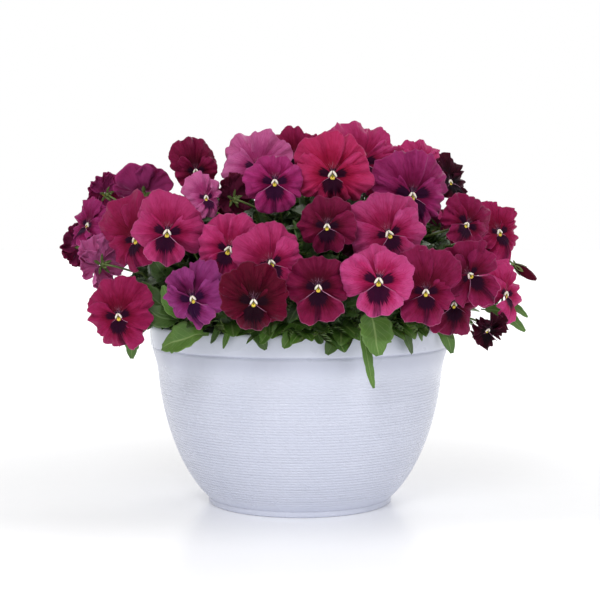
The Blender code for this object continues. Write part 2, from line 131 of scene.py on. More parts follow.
AMBIENT = 0.55
surround = bpy.data.worlds.new("white_surround")
surround.use_nodes = True
surround_tree = surround.node_tree
bounced = surround_tree.nodes.new("ShaderNodeLightPath").outputs["Is Diffuse Ray"]
level = surround_tree.nodes.new("ShaderNodeMapRange")
level.inputs["To Min"].default_value = 1.0
level.inputs["To Max"].default_value = AMBIENT
surround_tree.links.new(bounced, level.inputs["Value"])
surround_tree.links.new(level.outputs[0], surround_tree.nodes["Background"].inputs["Strength"])
surround_tree.nodes["Background"].inputs["Color"].default_value = (1.0, 1.0, 1.0, 1.0)
scene.world = surround
print("three lamps and a white surround")

# %% [markdown]
# ## Small helpers
# A pattern is easier to read as a formula than as a heap of boxes and wires, so `Recipe` adds shader or
# geometry nodes and hands back their outputs. `keep` is the last thing done to every piece: it rides on the
# model and hides the plain solid that it stands for.


# %% Nodes as formulas
class Recipe:
    """Adds nodes to one tree and joins them up."""

    def __init__(self, tree):
        self.tree = tree

    def node(self, kind, values=None, **settings):
        made = self.tree.nodes.new(kind)
        for key, value in settings.items():
            setattr(made, key, value)
        for key, value in (values or {}).items():
            socket = made.inputs[key]
            if isinstance(value, bpy.types.NodeSocket):
                self.tree.links.new(value, socket)
            else:
                socket.default_value = value
        return made

    def math(self, operation, *values, clamp=False):
        inputs = dict(enumerate(values))
        return self.node("ShaderNodeMath", inputs, operation=operation, use_clamp=clamp).outputs[0]

    def ramp(self, value, low, high, start=0.0, end=1.0):
        """Rises smoothly from start to end while the value goes from low to high."""
        inputs = {"Value": value, "From Min": low, "From Max": high, "To Min": start, "To Max": end}
        return self.node("ShaderNodeMapRange", inputs, interpolation_type="SMOOTHSTEP").outputs[0]

    def mix(self, factor, first, second, blend="MIX"):
        inputs = {0: factor, 6: first, 7: second}
        return self.node("ShaderNodeMix", inputs, data_type="RGBA", blend_type=blend).outputs[2]

    def grain(self, where, scale, detail=2.0, rough=0.5):
        inputs = {"Vector": where, "Scale": scale, "Detail": detail, "Roughness": rough}
        return self.node("ShaderNodeTexNoise", inputs).outputs["Fac"]

    def vector(self, x, y, z):
        return self.node("ShaderNodeCombineXYZ", {"X": x, "Y": y, "Z": z}).outputs[0]

    def attribute(self, name):
        made = self.node("ShaderNodeAttribute", attribute_name=name)
        return self.node("ShaderNodeSeparateXYZ", {"Vector": made.outputs["Vector"]}).outputs


def sockets(tree, direction, *rows):
    """Named inputs or outputs of a group: (name, kind, starting value)."""
    for name, kind, *value in rows:
        made = tree.interface.new_socket(name, in_out=direction, socket_type="NodeSocket" + kind)
        if value:
            made.default_value = value[0]


def shader_group(name, inputs, outputs):
    tree = bpy.data.node_groups.new(name, "ShaderNodeTree")
    sockets(tree, "INPUT", *inputs)
    sockets(tree, "OUTPUT", *outputs)
    start = tree.nodes.new("NodeGroupInput")
    end = tree.nodes.new("NodeGroupOutput")
    return tree, Recipe(tree), start.outputs, end.inputs


def colour(red, green, blue):
    """A colour as a painter's chart gives it (0 to 255), in Blender's linear values."""
    linear = [((c / 255 + 0.055) / 1.055) ** 2.4 if c > 10 else c / 3294.6 for c in (red, green, blue)]
    return (*linear, 1.0)


# %% Keeping a piece
TOTAL = {"pieces": 0, "triangles": 0}


def keep(piece, slot, *nodes):
    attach(piece, "root")
    if nodes:
        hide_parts(*nodes)
    count = sum(len(face.vertices) - 2 for face in piece.data.polygons)
    TOTAL["pieces"] += 1
    TOTAL["triangles"] += count
    return piece


def piece_of(name, mesh, *materials):
    for material in materials:
        mesh.materials.append(material)
    mesh.name = name
    piece = bpy.data.objects.new(name, mesh)
    scene.collection.objects.link(piece)
    return piece


class Shape:
    """Points, faces and per-point values of a mesh that grows part by part."""

    def __init__(self, *fields):
        self.points = []
        self.faces = []
        self.fields = {field: [] for field in fields}

    def add(self, points, faces, **values):
        first = len(self.points)
        self.points += [tuple(point) for point in points]
        self.faces += [tuple(first + corner for corner in face) for face in faces]
        for field in self.fields:
            self.fields[field] += [tuple(value) for value in values[field]]

    def mesh(self, name):
        made = bpy.data.meshes.new(name)
        made.from_pydata(self.points, [], self.faces)
        for field, values in self.fields.items():
            layer = made.attributes.new(field, "FLOAT_VECTOR", "POINT")
            layer.data.foreach_set("vector", np.array(values, dtype=np.float32).ravel())
        made.shade_smooth()
        return made


# %% Geometry Nodes helpers
def geometry_tree(name, *inputs):
    tree = bpy.data.node_groups.new(name, "GeometryNodeTree")
    sockets(tree, "INPUT", ("Geometry", "Geometry"), *inputs)
    sockets(tree, "OUTPUT", ("Geometry", "Geometry"))
    start = tree.nodes.new("NodeGroupInput")
    end = tree.nodes.new("NodeGroupOutput")
    return tree, Recipe(tree), start.outputs, end.inputs


def end_tree(recipe, geometry, material, end):
    """Every tree ends with real geometry and its material."""
    real = recipe.node("GeometryNodeRealizeInstances", {"Geometry": geometry}).outputs[0]
    painted = recipe.node("GeometryNodeSetMaterial", {"Geometry": real, "Material": material})
    recipe.tree.links.new(painted.outputs[0], end["Geometry"])


def grown(host, tree, values):
    """The plain mesh that a tree makes of its host, with the named inputs set."""
    modifier = host.modifiers.new(tree.name, "NODES")
    modifier.node_group = tree
    for item in tree.interface.items_tree:
        if item.item_type == "SOCKET" and item.in_out == "INPUT" and item.name in values:
            modifier[item.identifier] = values[item.name]
    graph = bpy.context.evaluated_depsgraph_get()
    ready = host.evaluated_get(graph)
    mesh = bpy.data.meshes.new_from_object(ready, preserve_all_data_layers=True, depsgraph=graph)
    bpy.data.objects.remove(host, do_unlink=True)
    return mesh


# %% [markdown]
# ## Effects that several finishes share
# `soft_mottle` is the slow unevenness that every natural surface has. `fine_tooth`
# is the fine relief that keeps plastic and leaf skin from looking like glass.


# %% Shared shader groups
def make_mottle():
    """Slow, soft unevenness between two colours."""
    tree, recipe, given, result = shader_group(
        "soft_mottle",
        [("Light", "Color"), ("Dark", "Color"), ("Scale", "Float", 40.0), ("Amount", "Float", 0.5)],
        [("Color", "Color"), ("Mask", "Float")],
    )
    where = recipe.node("ShaderNodeTexCoord").outputs["Object"]
    cloud = recipe.ramp(recipe.grain(where, given["Scale"], 3.0), 0.35, 0.65)
    amount = recipe.math("MULTIPLY", cloud, given["Amount"])
    recipe.tree.links.new(recipe.mix(amount, given["Light"], given["Dark"]), result["Color"])
    recipe.tree.links.new(cloud, result["Mask"])
    return tree


def make_tooth():
    """Fine relief as a height, from two sizes of grain."""
    tree, recipe, given, result = shader_group(
        "fine_tooth",
        [("Scale", "Float", 900.0), ("Coarse Share", "Float", 0.4)],
        [("Height", "Float")],
    )
    where = recipe.node("ShaderNodeTexCoord").outputs["Object"]
    fine = recipe.grain(where, given["Scale"], 2.0)
    coarse = recipe.grain(where, recipe.math("MULTIPLY", given["Scale"], 0.2), 2.0)
    spread = recipe.math("MULTIPLY", coarse, given["Coarse Share"])
    recipe.tree.links.new(recipe.math("ADD", fine, spread), result["Height"])
    return tree


SOFT_MOTTLE = make_mottle()
FINE_TOOTH = make_tooth()
print("shared groups:", SOFT_MOTTLE.name, FINE_TOOTH.name)


# %% Starting a material
def new_material(name, **plain):
    """A material, its recipe and its shader, with the constant values set on the shader."""
    material = bpy.data.materials.new(name)
    material.use_nodes = True
    recipe = Recipe(material.node_tree)
    shader = material.node_tree.nodes["Principled BSDF"]
    for key, value in plain.items():
        shader.inputs[key.replace("_", " ").title().replace("Ior", "IOR")].default_value = value
    return material, recipe, shader


def relief(recipe, shader, height, distance, strength=1.0):
    bump = recipe.node("ShaderNodeBump", {"Height": height, "Distance": distance, "Strength": strength})
    recipe.tree.links.new(bump.outputs[0], shader.inputs["Normal"])


# %% [markdown]
# ## The bowl
# It is turned from one profile. Below the crease its wall carries nearly fifty
# fine grooves, each under three millimetres high, which catch the light as thin lines.
# The smooth profile is spun first. A Geometry Nodes tree then presses the grooves
# into the wall by a rule: how far each point moves in depends on its height, and a
# little on where it is round the bowl, as the grooves wander slowly up and down.

# %% Bowl sizes
BOWL_SIDES = 176
FOOT_RADIUS = 92.5
FOOT_HEIGHT = 6.0
FLARE_RADIUS = 142.8
FLARE_HEIGHT = 132.0
CREASE_RADIUS = 149.0
WALL = 2.4
GROOVE_PITCH = 2.75
GROOVE_DEPTH = 0.60
GROOVES_FROM = 11.5
GROOVES_TO = 141.0
ROWS_PER_GROOVE = 6
FADE_HEIGHT = 30.0
FLARE = [(132.0, 142.8), (136.0, 143.4), (140.0, 144.1), (143.5, 144.9), (147.0, 145.8), (151.0, 147.0)]


def wall_radius(height):
    """The belly's outer radius at a height, found on its curve by halving."""
    ends = [(FOOT_RADIUS, FOOT_HEIGHT), (121.0, 31.0), (139.0, 86.0), (FLARE_RADIUS, FLARE_HEIGHT)]

    def on_curve(t, axis):
        a, b, c, d = (end[axis] for end in ends)
        s = 1.0 - t
        return a * s ** 3 + 3 * b * s * s * t + 3 * c * s * t * t + d * t ** 3

    low = 0.0
    high = 1.0
    for _ in range(24):
        middle = (low + high) / 2
        if on_curve(middle, 1) < height:
            low = middle
        else:
            high = middle
    return on_curve(low, 0)


def outer_radius(height):
    if height < FLARE_HEIGHT:
        return wall_radius(height)
    return float(np.interp(height, *zip(*FLARE)))


def spun(profile, sides):
    """A closed profile of (radius, height) in millimetres turned round the axis."""
    bm = bmesh.new()
    corners = [bm.verts.new((r * MM, 0.0, z * MM)) for r, z in profile]
    edges = [bm.edges.new(pair) for pair in zip(corners, corners[1:])]
    turn = dict(cent=(0, 0, 0), axis=(0, 0, 1), angle=math.tau, steps=sides, use_merge=True)
    bmesh.ops.spin(bm, geom=corners + edges, **turn)
    bmesh.ops.remove_doubles(bm, verts=bm.verts, dist=1e-6)
    bmesh.ops.recalc_face_normals(bm, faces=bm.faces)
    mesh = bpy.data.meshes.new("spun")
    bm.to_mesh(mesh)
    bm.free()
    mesh.shade_smooth()
    return mesh


def bowl_profile():
    step = GROOVE_PITCH / ROWS_PER_GROOVE
    rows = int((GROOVES_TO + 2.0 - FOOT_HEIGHT) / step)
    line = [(0.0, 0.0), (57.0, 0.0), (58.4, 0.6), (59.0, 3.0), (79.0, 3.0), (79.6, 0.6), (81.0, 0.0)]
    line += [(91.0, 0.0), (92.0, 0.5), (92.5, 1.5), (92.6, 4.6), (92.3, 5.4)]
    line += [(outer_radius(FOOT_HEIGHT + k * step), FOOT_HEIGHT + k * step) for k in range(rows)]
    line += [(outer_radius(z), z) for z in (145.0, 147.5, 151.0)]
    line += [(CREASE_RADIUS - 0.9, 154.6), (CREASE_RADIUS - 0.4, 156.8), (CREASE_RADIUS - 1.0, 157.6)]
    line += [(CREASE_RADIUS - 0.9, 158.3), (CREASE_RADIUS + 0.9, 159.0), (CREASE_RADIUS + 1.4, 160.4)]
    line += [(150.6, 166.0), (150.9, 172.0), (151.0, 176.5), (150.7, 178.6), (149.9, 179.7), (148.9, 180.0)]
    line += [(147.9, 179.6), (147.3, 178.0), (147.0, 170.0), (146.4, 160.0), (144.4, 150.0), (142.5, 143.5)]
    line += [(wall_radius(z) - WALL, z) for z in (132, 110, 90, 70, 50, 35, 22, 14)]
    line += [(88.4, 7.4), (85.0, 5.5), (0.0, 5.5)]
    return line


def make_grooves(material):
    """Presses rings into a turned wall by height, with a slow wander round it."""
    tree, recipe, given, result = geometry_tree(
        "pressed_grooves",
        ("Pitch", "Float"),
        ("Depth", "Float"),
        ("Lowest", "Float"),
        ("Highest", "Float"),
    )
    formula = recipe.math
    place = recipe.node("GeometryNodeInputPosition").outputs[0]
    x, y, z = recipe.node("ShaderNodeSeparateXYZ", {"Vector": place}).outputs

    # the grooves wander up and down a little, slowly round the bowl
    flat = recipe.vector(formula("MULTIPLY", x, 0.035), formula("MULTIPLY", y, 0.035), z)
    waver = formula("SUBTRACT", recipe.grain(flat, 170.0), 0.5)
    uneven = formula("MULTIPLY", waver, formula("MULTIPLY", given["Pitch"], 0.6))
    climbed = formula("ADD", formula("SUBTRACT", z, given["Lowest"]), uneven)
    wave = formula("COSINE", formula("MULTIPLY", formula("DIVIDE", climbed, given["Pitch"]), math.tau))
    valley = recipe.ramp(wave, -0.2, 1.0)

    # only the outer wall is pressed, between the lowest and the highest groove
    above = formula("GREATER_THAN", z, given["Lowest"])
    below = formula("LESS_THAN", z, given["Highest"])
    inside = formula("MULTIPLY", above, below)
    radius = formula("SQRT", formula("ADD", formula("MULTIPLY", x, x), formula("MULTIPLY", y, y)))
    normal = recipe.node("GeometryNodeInputNormal").outputs[0]
    nx, ny = recipe.node("ShaderNodeSeparateXYZ", {"Vector": normal}).outputs[:2]
    outward = formula("ADD", formula("MULTIPLY", nx, x), formula("MULTIPLY", ny, y))
    outer = formula("GREATER_THAN", outward, 0.0)

    # they fade towards the top, and no groove is quite even in depth
    fading = formula("SUBTRACT", given["Highest"], FADE_HEIGHT * MM)
    fade = recipe.ramp(z, given["Highest"], fading, 0.25, 1.0)
    chatter = recipe.ramp(recipe.grain(flat, 420.0), 0.3, 0.7, 0.7, 1.0)
    depth = formula("MULTIPLY", formula("MULTIPLY", fade, chatter), given["Depth"])
    where = formula("MULTIPLY", formula("MULTIPLY", valley, inside), outer)
    press = formula("MULTIPLY", where, depth)
    share = formula("DIVIDE", press, formula("MAXIMUM", radius, 0.001))
    back = formula("MULTIPLY", share, -1.0)
    move = recipe.vector(formula("MULTIPLY", x, back), formula("MULTIPLY", y, back), 0.0)
    pressed = recipe.node("GeometryNodeSetPosition", {"Geometry": given["Geometry"], "Offset": move})
    end_tree(recipe, pressed.outputs[0], material, result)
    return tree


# %% Bowl finish
# The plastic is pale lilac-white with a satin skin. Its roughness wanders a little, the groove valleys are a
# little darker, a band of painted shade darkens the wall just under the crease, and the relief is a fine
# moulding grain.
def make_plastic():
    material, recipe, shader = new_material("bowl_plastic", ior=1.48, coat_weight=0.12, coat_roughness=0.2)
    tones = recipe.node("ShaderNodeGroup", node_tree=SOFT_MOTTLE)
    tones.inputs["Light"].default_value = colour(211, 215, 231)
    tones.inputs["Dark"].default_value = colour(203, 208, 225)
    tones.inputs["Scale"].default_value = 22.0
    tones.inputs["Amount"].default_value = 0.35
    # the plastic is drawn darker in the groove valleys, where the surface is hollow
    hollow = recipe.node("ShaderNodeNewGeometry").outputs["Pointiness"]
    groove_darkening = recipe.ramp(hollow, 0.492, 0.470)
    darkened_in_grooves = recipe.mix(recipe.math("MULTIPLY", groove_darkening, 0.35), tones.outputs["Color"], colour(170, 172, 190))
    place = recipe.node("ShaderNodeTexCoord").outputs["Object"]
    height = recipe.node("ShaderNodeSeparateXYZ", {"Vector": place}).outputs["Z"]
    # painted shade: a band just under the crease is darkened, as the wall there tucks in and faces down
    under_crease_shade = recipe.math("MULTIPLY", recipe.ramp(height, 0.138, 0.154), recipe.ramp(height, 0.1605, 0.1585))
    shaded_below_crease = recipe.mix(recipe.math("MULTIPLY", under_crease_shade, 0.55), darkened_in_grooves, colour(176, 180, 198))
    recipe.tree.links.new(shaded_below_crease, shader.inputs["Base Color"])
    smear = recipe.ramp(tones.outputs["Mask"], 0.0, 1.0, 0.27, 0.36)
    recipe.tree.links.new(smear, shader.inputs["Roughness"])
    tooth = recipe.node("ShaderNodeGroup", node_tree=FINE_TOOTH)
    relief(recipe, shader, tooth.outputs["Height"], 0.00002, 0.3)
    return material


plastic = make_plastic()
groove_tree = make_grooves(plastic)
bowl_host = piece_of("bowl_host", spun(bowl_profile(), BOWL_SIDES))
groove_sizes = {
    "Pitch": GROOVE_PITCH * MM,
    "Depth": GROOVE_DEPTH * MM,
    "Lowest": GROOVES_FROM * MM,
    "Highest": GROOVES_TO * MM,
}
bowl = keep(piece_of("turned_bowl", grown(bowl_host, groove_tree, groove_sizes)), "bowl_plastic", "bowl")
print("bowl:", len(bowl.data.polygons), "faces")

# %% [markdown]
# ## The potting mix
# Peat and composted bark fill the bowl to a little below its lip. The body of the
# mix is turned and its top roughened. Crumbs, bark chips and white perlite are
# scattered over it with Geometry Nodes, each copied from one small rough stone.

# %% Mix sizes
MIX_SIDES = 96
MIX_EDGE = 149.5
MIX_CROWN = 155.0
SCATTER_REACH = 137.5
CRUMBS_PER_M2 = 30000.0
PERLITE_PER_M2 = 2600.0


def make_mix_mesh():
    line = [(0.0, 5.9), (84.6, 5.9), (88.0, 7.8)]
    line += [(wall_radius(z) - WALL - 0.4, z) for z in (14, 22, 35, 50, 70, 90, 110, 132)]
    line += [(142.0, 143.5), (140.8, MIX_EDGE - 1.2), (138.0, MIX_EDGE)]
    rise = MIX_CROWN - MIX_EDGE
    top = [(138.0 * (1 - k / 14), MIX_EDGE + rise * (k / 14) ** 0.6) for k in range(1, 15)]
    mesh = spun(line + top, MIX_SIDES)
    for vertex in mesh.vertices:
        if vertex.co.z > (MIX_EDGE - 0.5) * MM:
            rough = noise.noise(vertex.co * 90.0) + 0.6 * noise.noise(vertex.co * 260.0)
            vertex.co.z += (rough - 0.4) * 1.6 * MM
    return mesh


def stone(name, seed, flat):
    """A rough crumb a millimetre across, from a twenty-faced ball."""
    draw = random.Random(seed)
    bm = bmesh.new()
    bmesh.ops.create_icosphere(bm, subdivisions=1, radius=1.0 * MM)
    for vertex in bm.verts:
        vertex.co *= draw.uniform(0.72, 1.25)
        vertex.co.z *= flat
    mesh = bpy.data.meshes.new(name)
    bm.to_mesh(mesh)
    bm.free()
    return piece_of(name, mesh)


def make_scatter(name, material, shape):
    tree, recipe, given, result = geometry_tree(
        name,
        ("Density", "Float"),
        ("Smallest", "Float"),
        ("Largest", "Float"),
        ("Seed", "Int"),
    )
    normal = recipe.node("GeometryNodeInputNormal").outputs[0]
    facing_up = recipe.node("ShaderNodeSeparateXYZ", {"Vector": normal})
    upper = recipe.math("GREATER_THAN", facing_up.outputs["Z"], 0.5)
    place = recipe.node("GeometryNodeInputPosition").outputs[0]
    above = recipe.node("ShaderNodeSeparateXYZ", {"Vector": place})
    high = recipe.math("GREATER_THAN", above.outputs["Z"], 0.1)
    flat = recipe.vector(above.outputs["X"], above.outputs["Y"], 0.0)
    off_axis = recipe.node("ShaderNodeVectorMath", {"Vector": flat}, operation="LENGTH").outputs["Value"]
    inner = recipe.math("LESS_THAN", off_axis, SCATTER_REACH * MM)
    where = recipe.math("MULTIPLY", recipe.math("MULTIPLY", upper, high), inner)
    points = recipe.node(
        "GeometryNodeDistributePointsOnFaces",
        {"Mesh": given["Geometry"], "Selection": where, "Density": given["Density"], "Seed": given["Seed"]},
    )
    turn = recipe.node("FunctionNodeRandomValue", {"Seed": given["Seed"]}, data_type="FLOAT_VECTOR")
    turn.inputs[1].default_value = (math.tau, math.tau, math.tau)
    size = recipe.node("FunctionNodeRandomValue", {"Seed": given["Seed"]}, data_type="FLOAT")
    recipe.tree.links.new(given["Smallest"], size.inputs[2])
    recipe.tree.links.new(given["Largest"], size.inputs[3])
    source = recipe.node("GeometryNodeObjectInfo", {"Object": shape})
    copies = recipe.node(
        "GeometryNodeInstanceOnPoints",
        {
            "Points": points.outputs["Points"],
            "Instance": source.outputs["Geometry"],
            "Rotation": turn.outputs[0],
            "Scale": size.outputs[1],
        },
    )
    end_tree(recipe, copies.outputs[0], material, result)
    return tree


# %% Mix finishes
def make_peat(name, light, dark, scale, bump):
    material, recipe, shader = new_material(name, roughness=0.92)
    shader.inputs["Specular IOR Level"].default_value = 0.25
    tones = recipe.node("ShaderNodeGroup", node_tree=SOFT_MOTTLE)
    tones.inputs["Light"].default_value = light
    tones.inputs["Dark"].default_value = dark
    tones.inputs["Scale"].default_value = scale
    tones.inputs["Amount"].default_value = 1.0
    recipe.tree.links.new(tones.outputs["Color"], shader.inputs["Base Color"])
    tooth = recipe.node("ShaderNodeGroup", node_tree=FINE_TOOTH)
    relief(recipe, shader, tooth.outputs["Height"], bump)
    return material


peat = make_peat("peat", colour(62, 46, 34), colour(30, 21, 15), 320.0, 0.0006)
bark = make_peat("bark_crumbs", colour(86, 62, 42), colour(34, 24, 17), 260.0, 0.0004)
perlite = make_peat("perlite", colour(226, 223, 214), colour(190, 186, 174), 500.0, 0.0002)
mix = keep(piece_of("peat_body", make_mix_mesh(), peat), "potting_mix", "potting_mix")
crumb = stone("crumb_source", 3, 0.7)
bead = stone("bead_source", 8, 0.9)
for name, material, source, density, small, large, seed in (
    ("bark_crumbs", bark, crumb, CRUMBS_PER_M2, 0.5, 1.9, 11),
    ("perlite_beads", perlite, bead, PERLITE_PER_M2, 0.5, 1.3, 23),
):
    host = piece_of(name + "_host", mix.data.copy())
    host.data.materials.clear()
    sizes = {"Density": density, "Smallest": small, "Largest": large, "Seed": seed}
    scattered = grown(host, make_scatter(name + "_scatter", material, source), sizes)
    piece = keep(piece_of(name, scattered), "potting_mix")
    print(name, len(piece.data.polygons), "faces")
for source in (crumb, bead):
    bpy.data.objects.remove(source, do_unlink=True)

# %% [markdown]
# ## Where each flower stands
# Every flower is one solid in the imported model: a shallow dish for the petals and a
# thin stalk behind. Its throat is the one point where all the front faces of the
# dish meet, and the stalk is a chain of small rings. Both are read back from the
# solid, so the fine flower grows where the plain one stands. Fine petals reach wider
# than the plain dish, so some flowers then lean out or back a little.

# %% The flowers and the way each one faces
# turn: degrees to the right of the front; tilt: degrees upwards; roll: degrees
# clockwise, seen from the front of the flower; width: across the side petals in
# millimetres; palette: its colours; blotch: size of the dark patch; ruffle: how
# wavy the margin is; cup: how far the petals reach forward (negative: bent back);
# tall and chin: length of the upper petals and of the lip, 1 being the usual;
# slim: breadth of the whole face, 1 being the usual
FIELDS = "name turn tilt roll width palette blotch ruffle cup tall chin slim"
Flower = namedtuple("Flower", FIELDS, defaults=(1.0, 1.0, 1.0))

FLOWERS = [
    Flower("back_low_1", 112, 8, 5, 62, "crimson", 0.9, 1.0, 0.0),
    Flower("back_low_2", 134, 12, -8, 66, "wine", 1.0, 0.9, 0.1),
    Flower("back_low_3", 160, 8, 10, 68, "rose", 1.0, 1.0, 0.0),
    Flower("back_low_4", 183, 10, -5, 70, "magenta", 1.1, 1.2, -0.1),
    Flower("back_low_5", 208, 6, 8, 64, "velvet", 1.0, 1.0, 0.1),
    Flower("back_low_6", 232, 10, -10, 66, "rose", 0.9, 1.0, 0.0),
    Flower("back_mid_1", 118, 24, 10, 64, "rose", 1.0, 0.9, 0.0),
    Flower("back_mid_2", 145, 28, -6, 66, "crimson", 1.0, 1.1, 0.1),
    Flower("back_mid_3", 178, 24, 12, 70, "bright", 1.1, 1.0, 0.0),
    Flower("back_mid_4", 207, 26, -12, 64, "wine", 1.0, 1.0, -0.1),
    Flower("back_mid_5", 236, 22, 6, 62, "magenta", 0.9, 1.1, 0.0),
    Flower("back_top_1", 130, 48, 0, 62, "magenta", 1.0, 1.0, 0.1),
    Flower("back_top_2", 205, 50, 14, 66, "crimson", 1.0, 1.0, 0.0),
    Flower("left_edge_back", -152, 4, 18, 48, "wine", 0.9, 1.0, -0.2),
    Flower("left_thin", -142, 18, 0, 40, "magenta", 0.9, 1.1, -0.1),
    Flower("left_purple", -52, 12, 10, 48, "magenta", 1.0, 1.0, 0.1),
    Flower("left_domed_back", -168, 40, 0, 58, "magenta", 0.9, 0.3, 0.7),
    Flower("left_pale_back", -138, -8, 0, 50, "pale", 0.8, 1.1, 0.0),
    Flower("left_red", -26, 8, -14, 62, "crimson", 1.0, 0.9, 0.0, 1.3),
    Flower("left_crimson", -12, -6, -6, 58, "crimson", 1.1, 0.9, 0.0, 1.12, 1.15),
    Flower("left_tall_dark", 18, 2, -4, 52, "wine", 0.9, 0.8, 0.1, 1.15, 1.0, 0.78),
    Flower("top_folded", -8, 14, 0, 52, "crimson", 0.9, 1.3, 0.3),
    Flower("top_pale", -6, 8, 4, 64, "pale", 1.0, 0.9, 0.0, 1.1),
    Flower("top_rose", 8, 12, 6, 76, "rose", 1.0, 1.2, 0.0),
    Flower("top_ruffled", 22, 14, 0, 56, "rose", 1.0, 1.2, 0.1),
    Flower("top_maroon_back", -140, 4, 0, 42, "velvet", 0.9, 1.0, -0.1),
    Flower("top_small", 4, -6, 2, 54, "magenta", 1.2, 0.8, 0.0, 0.8, 1.15),
    Flower("top_crimson", 0, 0, 0, 73, "scarlet", 1.0, 0.9, 0.0, 0.95, 0.78),
    Flower("top_magenta", 10, 4, 4, 68, "magenta", 1.4, 1.1, 0.0, 1.2),
    Flower("right_black", 44, 10, 0, 48, "black", 1.2, 1.3, 0.3),
    Flower("right_ruffled", 35, 10, -8, 60, "crimson", 1.0, 1.15, 0.0),
    Flower("right_magenta", 20, 6, 38, 50, "garnet", 1.2, 0.9, 0.0, 1.1),
    Flower("right_purple", 47, 0, 10, 58, "rose", 0.9, 0.9, 0.0),
    Flower("right_wine", 14, -12, 0, 50, "wine", 1.2, 0.9, 0.0, 1.0, 1.35),
    Flower("right_cup", 24, -18, -46, 56, "garnet", 0.9, 0.7, 0.6),
    Flower("right_withered", 35, -42, 0, 34, "black", 1.0, 1.7, 0.4),
    Flower("front_side_on", 48, 4, 0, 44, "pale", 1.0, 0.7, 0.0),
    Flower("front_nodding_back", 165, -30, 0, 34, "black", 1.0, 0.9, 0.2),
    Flower("front_wine_small", -2, 2, 0, 52, "wine", 1.1, 0.8, 0.0, 0.9),
    Flower("front_rose", -12, 4, 18, 66, "rose", 0.9, 1.0, 0.0, 0.95),
    Flower("front_tall_rose", 14, -2, -14, 60, "rose", 0.9, 0.9, 0.1),
    Flower("front_pink", 2, 4, -20, 66, "bright", 0.9, 0.8, 0.1, 1.06, 0.85),
    Flower("front_wide", -4, -2, 4, 64, "rose", 1.1, 0.8, 0.0, 0.98, 0.95),
    Flower("front_crimson", 8, -2, 0, 56, "garnet", 1.1, 0.9, 0.0, 1.25, 1.2),
    Flower("front_wine", 2, -4, 2, 56, "wine", 1.1, 0.9, 0.0, 0.9, 1.2),
    Flower("front_purple", -30, -8, -14, 58, "purple", 1.2, 0.9, 0.1),
    Flower("front_velvet", 0, -4, 0, 58, "velvet", 1.2, 1.0, 0.0),
    Flower("front_bright", -2, -8, 3, 67, "bright", 1.12, 0.6, 0.0, 0.78),
]


def merged(node):
    """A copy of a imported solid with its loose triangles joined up."""
    bm = bmesh.new()
    bm.from_mesh(frame["nodes"][node].data)
    bmesh.ops.remove_doubles(bm, verts=bm.verts, dist=1e-5)
    return bm


def read_flower(node):
    """The throat and the middles of the stalk's rings, from the calyx inwards."""
    bm = merged(node)
    eye = max(bm.verts, key=lambda vertex: len(vertex.link_edges)).co.copy()
    near = KDTree(len(bm.verts))
    for index, vertex in enumerate(bm.verts):
        near.insert(vertex.co, index)
    near.balance()
    rings = []
    for vertex in bm.verts:
        close = [co for co, index, distance in near.find_range(vertex.co, 2.9 * MM)]
        if len(close) >= 6:
            middle = sum(close, Vector()) / len(close)
            if all((middle - other).length > 1.0 * MM for other in rings):
                rings.append(middle)
    bm.free()
    chain = []
    last = eye
    while rings:
        last = min(rings, key=lambda ring: (ring - last).length)
        rings.remove(last)
        chain.append(last)
    return eye, chain


def facing(turn, tilt, roll=0.0):
    """Right, up and outward directions of a flower that looks where it is turned."""
    turn = math.radians(turn)
    tilt = math.radians(tilt)
    roll = math.radians(roll)
    out = Vector((math.sin(turn) * math.cos(tilt), -math.cos(turn) * math.cos(tilt), math.sin(tilt)))
    level = Vector((math.cos(turn), math.sin(turn), 0.0))
    rise = out.cross(level)
    right = level * math.cos(roll) - rise * math.sin(roll)
    up = level * math.sin(roll) + rise * math.cos(roll)
    return right, up, out


# Millimetres by which a flower leans out, or back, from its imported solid, so that
# its wide petals pass its neighbours'. Its stalk bends after it.
LEANS_OUT = {
    "front_bright": 14,
    "front_crimson": 4,
    "right_cup": -9,
    "right_wine": -3,
    "front_nodding_back": -18,
    "front_wine_small": 5,
    "front_rose": -1,
    "front_tall_rose": 6,
    "front_velvet": 11,
    "front_wine": 7,
    "front_wide": 3,
    "front_side_on": -6,
    "top_maroon_back": -18,
    "top_pale": -20,
    "left_edge_back": -12,
    "left_purple": 5,
    "top_ruffled": -12,
    "top_small": 7,
    "top_folded": -6,
}
LEANS_ASIDE = {"front_crimson": -5}


def place_of(flower):
    eye, chain = read_flower("bloom_" + flower.name)
    aside = LEANS_ASIDE.get(flower.name, 0)
    lean = Vector((aside, -LEANS_OUT.get(flower.name, 0), 0.0)) * MM
    bent = [ring + lean * (1.0 - (k + 1) / len(chain)) for k, ring in enumerate(chain)]
    return eye + lean, bent


PLACES = {flower.name: place_of(flower) for flower in FLOWERS}
print(len(PLACES), "flowers read;", "stalk rings:", sorted({len(chain) for eye, chain in PLACES.values()}))

# %% [markdown]
# ## The petals
# A pansy has two upper petals behind, two side petals over them, and a broad lip in
# front. Each petal is a fan: rows run from the throat to the margin and columns
# spread sideways. Simple formulas shape it: how long it is at each angle, how it
# cups, and how the margin ruffles. Solid thickness comes from a second, inner
# sheet, so that the petal is a closed body as thin as the real one.

